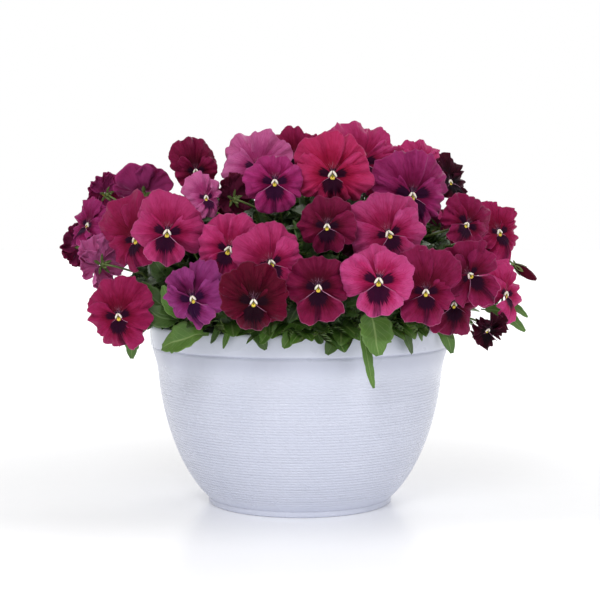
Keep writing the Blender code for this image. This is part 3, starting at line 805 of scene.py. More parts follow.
# %% Petal shapes
# heading: degrees, 90 is up; length and layer: for a width of 1; spread: half the
# fan's angle in degrees; fullness: how square the fan is (smaller is fuller)
Petal = namedtuple("Petal", "kind heading length spread fullness layer low_side")
UPPER = 0.0
SIDE = 1.0
LIP = 2.0
BEARD = 3.0
STIGMA = 4.0
TONGUE = 5.0
PETALS = [
    Petal(UPPER, 60, 0.575, 53, 0.22, -0.095, 1),
    Petal(UPPER, 120, 0.580, 53, 0.22, -0.060, -1),
    Petal(SIDE, 3, 0.500, 53, 0.28, -0.010, -1),
    Petal(SIDE, 177, 0.500, 53, 0.28, -0.010, 1),
    Petal(LIP, 270, 0.465, 59, 0.16, 0.045, 1),
]
ROWS = 15
COLUMNS = 38
PETAL_THICK = 0.34


def smooth(low, high, value):
    t = np.clip((value - low) / (high - low), 0.0, 1.0)
    return t * t * (3.0 - 2.0 * t)


def waves(draw, count, lowest, highest):
    """A few sine waves with drawn phases, as (amount, turns, phase)."""
    made = []
    for k in range(count):
        turns = draw.uniform(lowest, highest) * (1.0 + 0.55 * k)
        made.append((1.0 / (1.0 + 0.8 * k), turns, draw.uniform(0.0, math.tau)))
    return made


def wave_sum(made, x):
    return sum(amount * np.sin(math.pi * turns * x + phase) for amount, turns, phase in made)


def petal_sheet(petal, flower, draw):
    """The petal's middle surface in the flower's own plane: x right, y up, z forward."""
    along = np.linspace(0.0, 1.0, ROWS)[:, None] ** 0.85
    along = 0.035 + 0.965 * along
    across = np.linspace(-1.0, 1.0, COLUMNS)[None, :]
    angle = across * math.radians(petal.spread)
    reach = np.cos(angle) ** petal.fullness * (1.0 - 0.30 * np.abs(across) ** 7)
    if petal.kind == LIP:
        reach = reach * (1.0 - 0.075 * np.exp(-((across / 0.16) ** 2)))
    lobes = waves(draw, 3, 1.4, 2.4)
    frill = waves(draw, 4, 4.0, 7.0)
    nick = waves(draw, 3, 11.0, 16.0)
    wobble = 0.042 * wave_sum(lobes, across) + 0.014 * flower.ruffle * wave_sum(frill, across)
    wobble = wobble + 0.006 * flower.ruffle * wave_sum(nick, across) * along ** 8
    length = petal.length * draw.uniform(0.93, 1.06)
    length *= {UPPER: flower.tall, LIP: flower.chin}.get(petal.kind, 1.0)
    radius = along * length * reach * (1.0 + wobble * along ** 2)
    swing = math.radians(draw.uniform(-6.0, 6.0))
    x = radius * np.sin(angle + swing)
    y = radius * np.cos(angle + swing)
    rise = petal.layer * smooth(0.03, 0.42, along)
    margin = smooth(0.35, 1.0, along)
    ruffle = 0.047 * flower.ruffle * wave_sum(waves(draw, 3, 2.4, 4.4), across) * margin
    flutter = 0.013 * flower.ruffle * wave_sum(waves(draw, 2, 6.0, 8.0), across) * smooth(0.7, 1.0, along)
    sway = 0.036 * wave_sum(waves(draw, 2, 0.8, 1.5), across) * smooth(0.15, 0.9, along)
    bend = draw.uniform(-0.17, 0.06) * along ** 1.6
    twist = draw.uniform(-0.09, 0.09) * across * along
    dome = 0.10 * (along * (1.0 - along)) * (1.0 - across ** 2)
    rolled = -0.085 * smooth(0.70, 1.0, along) * (0.5 + 0.5 * np.abs(across))
    keel = -0.016 * np.exp(-((across / 0.10) ** 2)) * smooth(0.05, 0.4, along) * smooth(1.05, 0.5, along)
    cup = flower.cup * 0.34 * along ** 2
    throat = -0.045 * (1.0 - smooth(0.0, 0.24, along))
    z = rise + ruffle + flutter + sway + bend + twist + dome + rolled + keel + cup + throat
    if petal.kind == LIP:
        z = z + 0.06 * smooth(0.1, 0.6, along) * (1.0 - np.abs(across) ** 1.5)
    lean = math.radians(petal.heading - 90)
    sheet = np.stack(np.broadcast_arrays(
        (x * math.cos(lean) + y * -math.sin(lean)) * flower.slim,
        x * math.sin(lean) + y * math.cos(lean),
        z,
    ), axis=-1)
    return sheet, np.broadcast_to(across, z.shape), np.broadcast_to(along, z.shape)


def grid_normals(sheet):
    along = np.gradient(sheet, axis=0)
    across = np.gradient(sheet, axis=1)
    normal = np.cross(across, along)
    return normal / np.maximum(np.linalg.norm(normal, axis=-1, keepdims=True), 1e-12)


def slab_faces(rows, columns):
    """Faces of a closed thin body: a front grid, a back grid and the rim between."""
    count = rows * columns

    def corner(i, j, back):
        return i * columns + j + (count if back else 0)

    faces = []
    for i in range(rows - 1):
        for j in range(columns - 1):
            quad = [(i, j), (i, j + 1), (i + 1, j + 1), (i + 1, j)]
            faces.append([corner(*place, False) for place in quad])
            faces.append([corner(*place, True) for place in reversed(quad)])
    rim = [(0, j) for j in range(columns)] + [(i, columns - 1) for i in range(1, rows)]
    rim += [(rows - 1, j) for j in range(columns - 2, -1, -1)] + [(i, 0) for i in range(rows - 2, 0, -1)]
    for first, second in zip(rim, rim[1:] + rim[:1]):
        front = [corner(*second, False), corner(*first, False)]
        faces.append(front + [corner(*first, True), corner(*second, True)])
    return faces


PETAL_FACES = slab_faces(ROWS, COLUMNS)


def in_flower(sheet, eye, right, up, out, width):
    """Carries points from the flower's own plane to where the flower stands."""
    axes = np.array([right, up, out])
    return np.array(eye) + sheet.reshape(-1, 3) @ axes * width * MM


def add_petal(shape, petal, flower, eye, axes, draw):
    sheet, across, along = petal_sheet(petal, flower, draw)
    thin = PETAL_THICK / flower.width * (1.25 - 0.75 * along[..., None])
    normal = grid_normals(sheet)
    front = in_flower(sheet + normal * thin / 2, eye, *axes, flower.width)
    back = in_flower(sheet - normal * thin / 2, eye, *axes, flower.width)
    plane = sheet.reshape(-1, 3).copy()
    plane[:, 2] = petal.kind
    lanes = np.stack([(across * petal.low_side).ravel(), along.ravel(), np.zeros(across.size)], axis=-1)
    under = lanes.copy()
    under[:, 2] = 1.0
    points = np.concatenate([front, back])
    shape.add(points, PETAL_FACES, face=np.concatenate([plane, plane]), lane=np.concatenate([lanes, under]))


# %% [markdown]
# The eye of the flower is built as well: two small cream beards that lean together
# like a roof over the throat, the yellow tongue at the base of the lip, and the
# round greenish stigma between them.


# %% The eye
def pebble(rings, sides):
    """Unit ball as points and faces, poles closed."""
    points = [(0.0, 0.0, -1.0)]
    for i in range(1, rings):
        tilt = math.pi * i / rings
        for j in range(sides):
            spin = math.tau * j / sides
            ring = math.sin(tilt)
            points.append((ring * math.cos(spin), ring * math.sin(spin), -math.cos(tilt)))
    points.append((0.0, 0.0, 1.0))
    faces = [(0, 1 + (j + 1) % sides, 1 + j) for j in range(sides)]
    for i in range(rings - 2):
        low = 1 + i * sides
        for j in range(sides):
            k = (j + 1) % sides
            faces.append((low + j, low + k, low + sides + k, low + sides + j))
    top = len(points) - 1
    low = top - sides
    faces += [(low + j, low + (j + 1) % sides, top) for j in range(sides)]
    return np.array(points), faces


PEBBLE_POINTS, PEBBLE_FACES = pebble(6, 10)


def add_knob(shape, kind, centre, radii, lean, eye, axes, width):
    """A small rounded body in the flower's plane, leaning by an angle in degrees."""
    turn = math.radians(lean)
    body = PEBBLE_POINTS * np.array(radii)
    x = body[:, 0] * math.cos(turn) - body[:, 1] * math.sin(turn) + centre[0]
    y = body[:, 0] * math.sin(turn) + body[:, 1] * math.cos(turn) + centre[1]
    local = np.stack([x, y, body[:, 2] + centre[2]], axis=-1)
    place = local.copy()
    place[:, 2] = kind
    blank = np.zeros_like(place)
    shape.add(in_flower(local, eye, *axes, width), PEBBLE_FACES, face=place, lane=blank)


def add_eye(shape, flower, eye, axes):
    size = max(flower.width, 50.0) / flower.width
    for side in (-1, 1):
        centre = (side * 0.031 * size, 0.020 * size, -0.006)
        radii = (0.0165 * size, 0.050 * size, 0.020 * size)
        add_knob(shape, BEARD, centre, radii, side * 31, eye, axes, flower.width)
    tongue = (0.034 * size, 0.032 * size, 0.016 * size)
    add_knob(shape, TONGUE, (0.0, -0.036 * size, -0.006), tongue, 0, eye, axes, flower.width)
    stigma = (0.013 * size, 0.022 * size, 0.014 * size)
    add_knob(shape, STIGMA, (0.0, -0.008 * size, 0.006), stigma, 0, eye, axes, flower.width)


# %% [markdown]
# ## What a petal is painted with
# One shader group paints every pansy face. It reads where a point lies in the flower's plane (attribute
# `face`) and on its own petal (attribute `lane`), and puts out a colour and a relief: a deep throat, partly
# the petal's own colour and partly painted shade, painted shade on the upper and side petals where others
# lie over them, a paler margin, fine veins that fan out, a feathered dark blotch on the lip and smaller ones
# on the side petals, pale rays above the eye, and a yellow tongue below it.

# %% The painted face
def make_pansy_face():
    tree, recipe, given, result = shader_group(
        "pansy_face",
        [
            ("Body", "Color"),
            ("Margin", "Color"),
            ("Underside", "Color"),
            ("Blotch", "Color"),
            ("Blotch Size", "Float", 1.0),
            ("Vein Depth", "Float", 0.5),
        ],
        [("Color", "Color"), ("Height", "Float"), ("Dull", "Float")],
    )
    x, y, kind = recipe.attribute("face")
    across, along, under = recipe.attribute("lane")
    math_ = recipe.math
    ramp = recipe.ramp
    radius = math_("SQRT", math_("ADD", math_("MULTIPLY", x, x), math_("MULTIPLY", y, y)))
    is_lip = ramp(math_("ABSOLUTE", math_("SUBTRACT", kind, LIP)), 0.4, 0.3)
    is_side = ramp(math_("ABSOLUTE", math_("SUBTRACT", kind, SIDE)), 0.4, 0.3)
    is_upper = ramp(kind, 0.4, 0.3)
    is_beard = ramp(math_("ABSOLUTE", math_("SUBTRACT", kind, BEARD)), 0.4, 0.3)
    is_stigma = ramp(math_("ABSOLUTE", math_("SUBTRACT", kind, STIGMA)), 0.4, 0.3)
    is_tongue = ramp(kind, STIGMA + 0.4, STIGMA + 0.6)

    # veins: lines of equal angle, each split in two towards the margin
    drift_at = recipe.vector(math_("MULTIPLY", across, 2.2), math_("MULTIPLY", along, 1.4), kind)
    drift = recipe.grain(drift_at, 2.4)
    lane = math_("ADD", across, math_("MULTIPLY", math_("SUBTRACT", drift, 0.5), 0.35))
    coarse = math_("ABSOLUTE", math_("SINE", math_("MULTIPLY", lane, 22.0)))
    fine = math_("ABSOLUTE", math_("SINE", math_("MULTIPLY", lane, 44.0)))
    split = math_("MULTIPLY", ramp(fine, 0.5, 0.0), ramp(along, 0.4, 0.75))
    vein = math_("MAXIMUM", ramp(coarse, 0.42, 0.0), split)

    # the body of the colour: deeper in the throat, partly the petal's own colour and partly painted shade
    # where petals overlap, paler at the margin, uneven between
    cloud = recipe.grain(recipe.vector(x, y, kind), 7.0, 3.0)
    streak = recipe.grain(recipe.vector(math_("MULTIPLY", across, 9.0), along, kind), 2.0, 2.0)
    shoulders = math_("MULTIPLY", ramp(math_("ABSOLUTE", across), 0.6, 1.0), 0.25)
    reach = math_("ADD", ramp(along, 0.35, 1.02), shoulders)
    tone = math_("ADD", reach, math_("MULTIPLY", math_("SUBTRACT", cloud, 0.5), 1.7))
    tone = math_("ADD", tone, math_("MULTIPLY", math_("SUBTRACT", streak, 0.5), 0.8), clamp=True)
    paint = recipe.mix(tone, given["Body"], given["Margin"])
    # painted shade on the upper petals, and a little on the side petals, where other petals lie over them
    shade = math_("ADD", math_("MULTIPLY", is_upper, 0.26), math_("MULTIPLY", is_side, 0.06))
    throat_and_overlap_shade = math_("ADD", math_("MULTIPLY", ramp(along, 0.70, 0.20), 0.46), shade)
    paint = recipe.mix(throat_and_overlap_shade, paint, given["Body"], "MULTIPLY")
    vein_depth = math_("MULTIPLY", given["Vein Depth"], ramp(along, 1.05, 0.35, 0.25, 1.0))
    lines = math_("MULTIPLY", vein, vein_depth)
    paint = recipe.mix(lines, paint, given["Body"], "MULTIPLY")

    # the dark blotch: a feathered block on the lip, a fan on each side petal
    rays_at = recipe.vector(math_("MULTIPLY", across, 9.0), math_("MULTIPLY", along, 0.7), kind)
    feather = math_("SUBTRACT", recipe.grain(rays_at, 2.0, 3.0), 0.5)
    fringe = math_("MULTIPLY", math_("ADD", 1.0, math_("MULTIPLY", feather, 0.85)), given["Blotch Size"])
    sideways = math_("DIVIDE", math_("ABSOLUTE", x), math_("MULTIPLY", fringe, 0.132))
    downward = math_("DIVIDE", math_("ABSOLUTE", y), math_("MULTIPLY", fringe, 0.240))
    corners = math_("ADD", math_("POWER", sideways, 3.5), math_("POWER", downward, 3.5))
    block = math_("POWER", corners, 1 / 3.5)
    low_half = math_("MULTIPLY", ramp(across, -0.50, 0.0), ramp(across, 0.95, 0.60))
    fan_edge = math_("MULTIPLY", fringe, math_("ADD", 0.03, math_("MULTIPLY", low_half, 0.145)))
    fan = math_("DIVIDE", radius, fan_edge)
    above = math_("DIVIDE", radius, math_("MULTIPLY", fringe, 0.09))
    nearness = math_("ADD", math_("MULTIPLY", is_lip, block), math_("MULTIPLY", is_side, fan))
    nearness = math_("ADD", nearness, math_("MULTIPLY", is_upper, above))
    blotch = ramp(nearness, 1.12, 0.90)
    halo = math_("MULTIPLY", ramp(nearness, 1.75, 0.95), 0.40)
    stripe = math_("MULTIPLY", is_lip, ramp(math_("ABSOLUTE", x), 0.075, 0.030))
    stripe = math_("MULTIPLY", stripe, math_("ADD", 0.60, feather), clamp=True)
    paint = recipe.mix(halo, paint, given["Body"], "MULTIPLY")
    paint = recipe.mix(stripe, paint, given["Blotch"])
    paint = recipe.mix(math_("MULTIPLY", blotch, 0.96), paint, given["Blotch"])

    # pale rays above the eye, and the pale line along both shoulders of the lip
    rays = math_("MULTIPLY", math_("MULTIPLY", is_upper, ramp(coarse, 0.5, 0.1)), ramp(radius, 0.20, 0.07))
    shoulder = math_("MULTIPLY", is_lip, ramp(math_("ABSOLUTE", across), 0.94, 0.99))
    shoulder = math_("MULTIPLY", shoulder, ramp(along, 0.75, 0.45, 0.25, 1.0))
    pale = math_("MAXIMUM", math_("MULTIPLY", rays, 0.55), math_("MULTIPLY", shoulder, 0.75))
    paint = recipe.mix(pale, paint, colour(226, 160, 196))
    rim_strength = math_("ADD", 0.12, math_("MULTIPLY", is_lip, 0.38))
    lit_rim = math_("MULTIPLY", ramp(along, 0.972, 0.998), rim_strength)
    paint = recipe.mix(lit_rim, paint, colour(222, 130, 174))

    # the eye: cream beards over a yellow tongue with an olive stigma
    white = math_("MULTIPLY", math_("MAXIMUM", is_side, is_upper), ramp(radius, 0.052, 0.040))
    paint = recipe.mix(white, paint, colour(240, 214, 214))
    paint = recipe.mix(is_beard, paint, colour(248, 238, 224))
    paint = recipe.mix(is_tongue, paint, colour(232, 204, 84))
    paint = recipe.mix(is_stigma, paint, colour(140, 134, 36))

    # the underside is paler and silkier than the face
    silk = recipe.mix(math_("MULTIPLY", vein, 0.25), given["Underside"], given["Body"])
    paint = recipe.mix(math_("MULTIPLY", under, 0.85), paint, silk)
    recipe.tree.links.new(paint, result["Color"])

    pores = recipe.grain(recipe.vector(x, y, kind), 160.0, 1.0)
    height = math_("SUBTRACT", math_("MULTIPLY", pores, 0.35), math_("MULTIPLY", vein, 0.65))
    recipe.tree.links.new(height, result["Height"])
    recipe.tree.links.new(ramp(tone, 0.0, 1.0, 0.62, 0.50), result["Dull"])
    return tree


PANSY_FACE = make_pansy_face()

# %% [markdown]
# Each palette names what a breeder would: the body, the margin, the underside and
# the blotch. Every flower shifts its palette a little, as sister flowers do.

# %% Palettes and petal finishes
Palette = namedtuple("Palette", "body margin underside blotch")
PALETTES = {
    "black": Palette((36, 5, 16), (62, 12, 32), (70, 24, 46), (14, 3, 9)),
    "velvet": Palette((72, 6, 26), (98, 14, 42), (96, 30, 58), (24, 3, 15)),
    "wine": Palette((96, 10, 42), (126, 26, 68), (116, 38, 78), (30, 3, 24)),
    "garnet": Palette((112, 13, 50), (138, 32, 80), (128, 42, 84), (32, 3, 27)),
    "crimson": Palette((138, 18, 62), (164, 40, 94), (144, 48, 94), (34, 4, 29)),
    "scarlet": Palette((170, 28, 76), (192, 54, 108), (162, 56, 102), (35, 4, 27)),
    "magenta": Palette((132, 22, 80), (164, 52, 116), (146, 50, 106), (36, 4, 34)),
    "rose": Palette((162, 31, 86), (190, 62, 122), (162, 62, 116), (37, 4, 32)),
    "bright": Palette((166, 34, 90), (192, 72, 132), (168, 70, 124), (39, 4, 33)),
    "purple": Palette((124, 31, 92), (154, 62, 130), (146, 64, 120), (38, 5, 42)),
    "pale": Palette((178, 70, 132), (204, 108, 162), (176, 90, 142), (50, 10, 45)),
}


def petal_finish(flower, draw):
    palette = PALETTES[flower.palette]
    brightness = draw.uniform(0.95, 1.05)
    material, recipe, shader = new_material(
        flower.name + "_petal",
        sheen_weight=0.03,
        sheen_roughness=0.4,
    )
    shader.inputs["Specular IOR Level"].default_value = 0.05
    shader.inputs["Sheen Tint"].default_value = colour(200, 110, 210)
    shader.inputs["Subsurface Weight"].default_value = 0.12
    shader.inputs["Subsurface Radius"].default_value = (1.0, 0.25, 0.45)
    shader.inputs["Subsurface Scale"].default_value = 0.0016
    face = recipe.node("ShaderNodeGroup", node_tree=PANSY_FACE)
    for socket, value in zip(("Body", "Margin", "Underside", "Blotch"), palette):
        face.inputs[socket].default_value = colour(*(min(c * brightness, 255) for c in value))
    face.inputs["Blotch Size"].default_value = flower.blotch
    face.inputs["Vein Depth"].default_value = draw.uniform(0.35, 0.6)
    recipe.tree.links.new(face.outputs["Color"], shader.inputs["Base Color"])
    recipe.tree.links.new(face.outputs["Dull"], shader.inputs["Roughness"])
    relief(recipe, shader, face.outputs["Height"], 0.00022)
    return material


# %% Opening the flowers
def make_petals(flower):
    draw = random.Random("petals of " + flower.name)
    eye = PLACES[flower.name][0]
    axes = facing(flower.turn, flower.tilt, flower.roll)
    shape = Shape("face", "lane")
    for petal in PETALS:
        add_petal(shape, petal, flower, eye, axes, draw)
    add_eye(shape, flower, eye, axes)
    piece = piece_of("petals_" + flower.name, shape.mesh(flower.name), petal_finish(flower, draw))
    return keep(piece, "petal_" + slot_of(flower), "bloom_" + flower.name)


def slot_of(flower):
    given = {part["node"]: part["material_slot"] for part in frame["record"]["subparts"]}
    return given["bloom_" + flower.name].replace("petal_", "")


for flower in FLOWERS:
    make_petals(flower)
print(len(FLOWERS), "flowers,", TOTAL["triangles"], "triangles so far")

# %% [markdown]
# ## Green skin
# Leaves, stalks and sepals share one group. It reads the attribute `blade`: across
# the leaf from edge to edge, along it from foot to tip, and which side is seen. The
# underside is greyer and paler, and the veins are sunk on top and raised beneath.

# %% Leaf skin group
def make_leaf_skin():
    tree, recipe, given, result = shader_group(
        "leaf_skin",
        [
            ("Top", "Color"),
            ("Shade", "Color"),
            ("Underside", "Color"),
            ("Vein", "Color"),
            ("Veins", "Float", 9.0),
        ],
        [("Color", "Color"), ("Height", "Float"), ("Dull", "Float")],
    )
    across, along, under = recipe.attribute("blade")
    tint = recipe.node("ShaderNodeAttribute", attribute_name="tint").outputs["Fac"]
    math_ = recipe.math
    ramp = recipe.ramp
    place = recipe.node("ShaderNodeTexCoord").outputs["Object"]
    side = math_("ABSOLUTE", across)
    rib = ramp(side, 0.10, 0.02)
    slant = math_("SUBTRACT", along, math_("MULTIPLY", side, 0.30))
    vein_count = math_("MULTIPLY", given["Veins"], math.pi)
    branch = math_("ABSOLUTE", math_("SINE", math_("MULTIPLY", slant, vein_count)))
    fork = math_("MULTIPLY", ramp(branch, 0.20, 0.0), ramp(side, 1.0, 0.75))
    vein = math_("MAXIMUM", rib, math_("MULTIPLY", fork, 0.55))
    cloud = recipe.grain(place, 60.0, 3.0)
    patches = math_("MULTIPLY", math_("SUBTRACT", cloud, 0.5), 0.9)
    tone = math_("ADD", math_("MULTIPLY", tint, 0.75), patches, clamp=True)
    skin = recipe.mix(tone, given["Shade"], given["Top"])
    skin = recipe.mix(math_("MULTIPLY", vein, 0.55), skin, given["Vein"])
    edge = math_("MULTIPLY", ramp(side, 0.93, 1.0), 0.25)
    skin = recipe.mix(edge, skin, given["Vein"])
    below = recipe.mix(math_("MULTIPLY", vein, 0.5), given["Underside"], given["Vein"])
    recipe.tree.links.new(recipe.mix(under, skin, below), result["Color"])
    pores = recipe.grain(place, 1500.0, 1.0)
    puff = math_("MULTIPLY", math_("SUBTRACT", 1.0, vein), 1.0)
    recipe.tree.links.new(math_("ADD", puff, math_("MULTIPLY", pores, 0.25)), result["Height"])
    recipe.tree.links.new(ramp(cloud, 0.3, 0.7, 0.36, 0.52), result["Dull"])
    return tree


LEAF_SKIN = make_leaf_skin()


def leaf_finish(name, top, shade, underside, vein):
    material, recipe, shader = new_material(name, coat_weight=0.06, coat_roughness=0.35)
    shader.inputs["Specular IOR Level"].default_value = 0.38
    shader.inputs["Subsurface Weight"].default_value = 0.08
    shader.inputs["Subsurface Radius"].default_value = (0.5, 1.0, 0.2)
    shader.inputs["Subsurface Scale"].default_value = 0.001
    skin = recipe.node("ShaderNodeGroup", node_tree=LEAF_SKIN)
    for socket, value in zip(("Top", "Shade", "Underside", "Vein"), (top, shade, underside, vein)):
        skin.inputs[socket].default_value = colour(*value)
    recipe.tree.links.new(skin.outputs["Color"], shader.inputs["Base Color"])
    recipe.tree.links.new(skin.outputs["Dull"], shader.inputs["Roughness"])
    relief(recipe, shader, skin.outputs["Height"], 0.0002, 0.8)
    return material


deep_leaf = leaf_finish("deep_leaf", (78, 110, 46), (36, 58, 24), (92, 112, 78), (108, 132, 84))
fresh_leaf = leaf_finish("fresh_leaf", (96, 136, 52), (52, 84, 30), (118, 140, 96), (146, 170, 104))
stem_green = leaf_finish("stem_green", (124, 142, 78), (84, 106, 52), (124, 142, 84), (150, 160, 104))

# %% [markdown]
# ## Stalks and calyces
# A stalk leaves the back of the flower, hooks over and runs down into the leaves. It
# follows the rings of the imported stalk, and goes on a little way into the foliage.
# A Geometry Nodes tree sweeps a small circle along that path. The calyx has five
# narrow sepals with blunt ears behind, and the spur of the lip sticks out below.

# %% Stalk tree
def make_sweep(material):
    tree, recipe, given, result = geometry_tree(
        "swept_stalk",
        ("Radius", "Float"),
        ("Sides", "Int"),
        ("Steps", "Int"),
    )
    even = recipe.node("GeometryNodeResampleCurve", {"Curve": given["Geometry"], "Count": given["Steps"]})
    ring_size = {"Resolution": given["Sides"], "Radius": given["Radius"]}
    ring = recipe.node("GeometryNodeCurvePrimitiveCircle", ring_size)
    tube = recipe.node(
        "GeometryNodeCurveToMesh",
        {"Curve": even.outputs[0], "Profile Curve": ring.outputs[0], "Fill Caps": True},
    )
    end_tree(recipe, tube.outputs[0], material, result)
    return tree


def smooth_path(points, steps):
    """Evenly many points on a Catmull-Rom curve through the given ones."""
    knots = [points[0] * 2 - points[1]] + points + [points[-1] * 2 - points[-2]]
    path = []
    for k in range(len(points) - 1):
        a, b, c, d = knots[k:k + 4]
        for n in range(steps):
            t = n / steps
            bend = 2 * a - 5 * b + 4 * c - d
            twist = 3 * b - a - 3 * c + d
            path.append(0.5 * (2 * b + (c - a) * t + bend * t * t + twist * t ** 3))
    path.append(points[-1])
    return path


def path_curve(name, path):
    data = bpy.data.curves.new(name, "CURVE")
    data.dimensions = "3D"
    spline = data.splines.new("POLY")
    spline.points.add(len(path) - 1)
    for point, place in zip(spline.points, path):
        point.co = (*place, 1.0)
    host = bpy.data.objects.new(name, data)
    scene.collection.objects.link(host)
    return host


sweep_tree = make_sweep(stem_green)
STALK_RADIUS = 1.05 * MM
ROOT_DEPTH = 26.0 * MM


# %% Sepals, spur and stalk of one flower
def blade_mesh(length, width, thick, rows, fold, arch, kind=0.0):
    """A narrow leaf along +Y lying in XY, six points round at each row, ends closed."""
    points = []
    lanes = []
    for i in range(rows):
        t = i / (rows - 1)
        half = 0.5 * width * max(math.sin(math.pi * (0.06 + 0.92 * t)), 0.0) ** 0.8
        middle = Vector((0.0, length * t, arch * t * t))
        up = thick * (1.0 - 0.6 * t)
        lift = fold * half
        half_way = lift * 0.35 + up
        section = [(-1.0, lift), (-0.5, half_way), (0.0, up * 0.5), (0.5, half_way), (1.0, lift), (0.0, -up)]
        for s, z in section:
            points.append(middle + Vector((s * half, 0.0, z)))
            lanes.append((s, t, 1.0 if z < 0 else kind))
    faces = []
    for i in range(rows - 1):
        for k in range(6):
            n = (k + 1) % 6
            faces.append((i * 6 + k, (i + 1) * 6 + k, (i + 1) * 6 + n, i * 6 + n))
    faces.append(tuple(range(6)))
    faces.append(tuple(reversed([(rows - 1) * 6 + k for k in range(6)])))
    return points, faces, lanes


def add_blade(shape, base, along, face, measures):
    """Sets a blade with its foot at base, pointing along, its top turned to face."""
    points, faces, lanes = measures
    along = along.normalized()
    across = along.cross(face).normalized()
    lift = across.cross(along)
    turned = [base + across * p.x + along * p.y + lift * p.z for p in points]
    shape.add(turned, faces, blade=lanes)


SEPAL = blade_mesh(11.5 * MM, 4.2 * MM, 0.35 * MM, 7, 0.25, 1.2 * MM)
EAR = blade_mesh(4.5 * MM, 3.0 * MM, 0.4 * MM, 4, 0.1, 0.6 * MM)
SPUR = blade_mesh(8.0 * MM, 3.0 * MM, 1.2 * MM, 5, 0.0, -1.4 * MM)


def make_green(flower):
    draw = random.Random("calyx of " + flower.name)
    eye, chain = PLACES[flower.name]
    right, up, out = facing(flower.turn, flower.tilt, flower.roll)
    size = min(flower.width / 60.0, 1.0)
    seat = eye - out * 5.0 * MM
    shape = Shape("blade")
    for k in range(5):
        angle = math.radians(90 + 72 * k + draw.uniform(-8, 8))
        spoke = right * math.cos(angle) + up * math.sin(angle)
        along = spoke * math.cos(math.radians(24)) - out * math.sin(math.radians(8))
        foot = seat + spoke * 1.6 * MM
        measures = ([p * size for p in SEPAL[0]], SEPAL[1], SEPAL[2])
        add_blade(shape, foot, along, -out, measures)
        add_blade(shape, foot - out * 0.8 * MM, spoke * 0.45 - out, spoke, EAR)
    add_blade(shape, seat - up * 2.2 * MM, -out - up * 0.35, -up, SPUR)
    knob = PEBBLE_POINTS * np.array((2.6, 2.6, 2.4)) * MM
    cup = [seat - out * 1.5 * MM + right * p[0] + up * p[1] + out * p[2] for p in knob]
    shape.add(cup, PEBBLE_FACES, blade=[(0.3, 0.4, 0.0)] * len(cup))
    rest = [ring for ring in chain if (ring - eye).dot(out) < -4.0 * MM or (ring - eye).length > 9.0 * MM]
    end = rest[-1]
    inward = (end - rest[-2]).normalized() if len(rest) > 1 else -out
    root = end + (inward * 0.7 + Vector((0.0, 0.0, -0.7))) * ROOT_DEPTH
    path = smooth_path([seat - out * 1.0 * MM] + rest + [root], 4)
    host = path_curve(flower.name + "_path", path)
    tube = grown(host, sweep_tree, {"Radius": STALK_RADIUS, "Sides": 7, "Steps": 22})
    points = [vertex.co.copy() for vertex in tube.vertices]
    faces = [tuple(face.vertices) for face in tube.polygons]
    shape.add(points, faces, blade=[(0.35, 0.5, 0.0)] * len(points))
    mesh = shape.mesh("stalk_" + flower.name)
    layer = mesh.attributes.new("tint", "FLOAT", "POINT")
    layer.data.foreach_set("value", [draw.uniform(0.3, 0.9)] * len(mesh.vertices))
    return keep(piece_of("stalk_" + flower.name, mesh, stem_green), "foliage")


for flower in FLOWERS:
    make_green(flower)
print(len(FLOWERS), "stalks with their calyces")

# %% [markdown]
# ## Leaves
# A pansy leaf is long and oval with round teeth along both edges, and its foot runs
# down into a narrow stalk. Four shapes of it are enough: Geometry Nodes set them on
# the points where leaves belong, turned and sized one by one. The points lie on and
# under the surface of each packed plant, and a leaf that would cut a flower is
# left out.

# %% Leaf shapes
def leaf_mesh(length, width, rows, teeth, fold, arch, twist, draw):
    """One toothed leaf along +Y, six points round at each row."""
    points = []
    lanes = []
    for i in range(rows):
        t = i / (rows - 1)
        body = max((t - 0.24) / 0.76, 0.0)
        swell = math.sin(math.pi * min(body, 1.0) ** 0.85) ** 0.75 if body > 0 else 0.0
        half = 0.5 * width * (0.09 + 0.91 * swell)
        if t == 1.0:
            half = 0.05 * width
        tooth = 1.0 + (0.09 * math.cos(math.pi * 2 * teeth * t) if body > 0.05 else 0.0)
        half *= tooth * draw.uniform(0.97, 1.03)
        middle = Vector((0.0, length * (t - 0.06 * arch * t * t), length * arch * (0.55 * t - t * t)))
        turn = twist * t
        section = [(-1.0, 0.0), (-0.5, 0.0), (0.0, 0.0), (0.5, 0.0), (1.0, 0.0), (0.0, -1.0)]
        for s, below in section:
            lift = fold * half * abs(s) ** 1.3 + (below - 0.15) * 0.35 * MM
            side = Vector((math.cos(turn), 0.0, math.sin(turn))) * s * half
            points.append(middle + side + Vector((0.0, 0.0, lift)))
            lanes.append((s, t, 1.0 if below else 0.0))
    faces = []
    for i in range(rows - 1):
        for k in range(6):
            n = (k + 1) % 6
            faces.append((i * 6 + k, (i + 1) * 6 + k, (i + 1) * 6 + n, i * 6 + n))
    faces.append(tuple(range(6)))
    faces.append(tuple(reversed([(rows - 1) * 6 + k for k in range(6)])))
    return points, faces, lanes


def leaf_source(name, *measures):
    shape = Shape("blade")
    points, faces, lanes = leaf_mesh(*measures)
    shape.add(points, faces, blade=lanes)
    return piece_of(name, shape.mesh(name))


leaf_draw = random.Random(5)
LEAF_SHAPES = [
    leaf_source("leaf_oval", 44 * MM, 24 * MM, 12, 5, 0.22, 0.35, 0.2, leaf_draw),
    leaf_source("leaf_long", 50 * MM, 18 * MM, 12, 5, 0.30, 0.25, -0.3, leaf_draw),
    leaf_source("leaf_broad", 40 * MM, 30 * MM, 12, 4, 0.15, 0.45, 0.1, leaf_draw),
    leaf_source("leaf_young", 30 * MM, 14 * MM, 11, 4, 0.4, 0.15, 0.3, leaf_draw),
]
print("leaf shapes:", [len(leaf.data.polygons) for leaf in LEAF_SHAPES], "faces each")


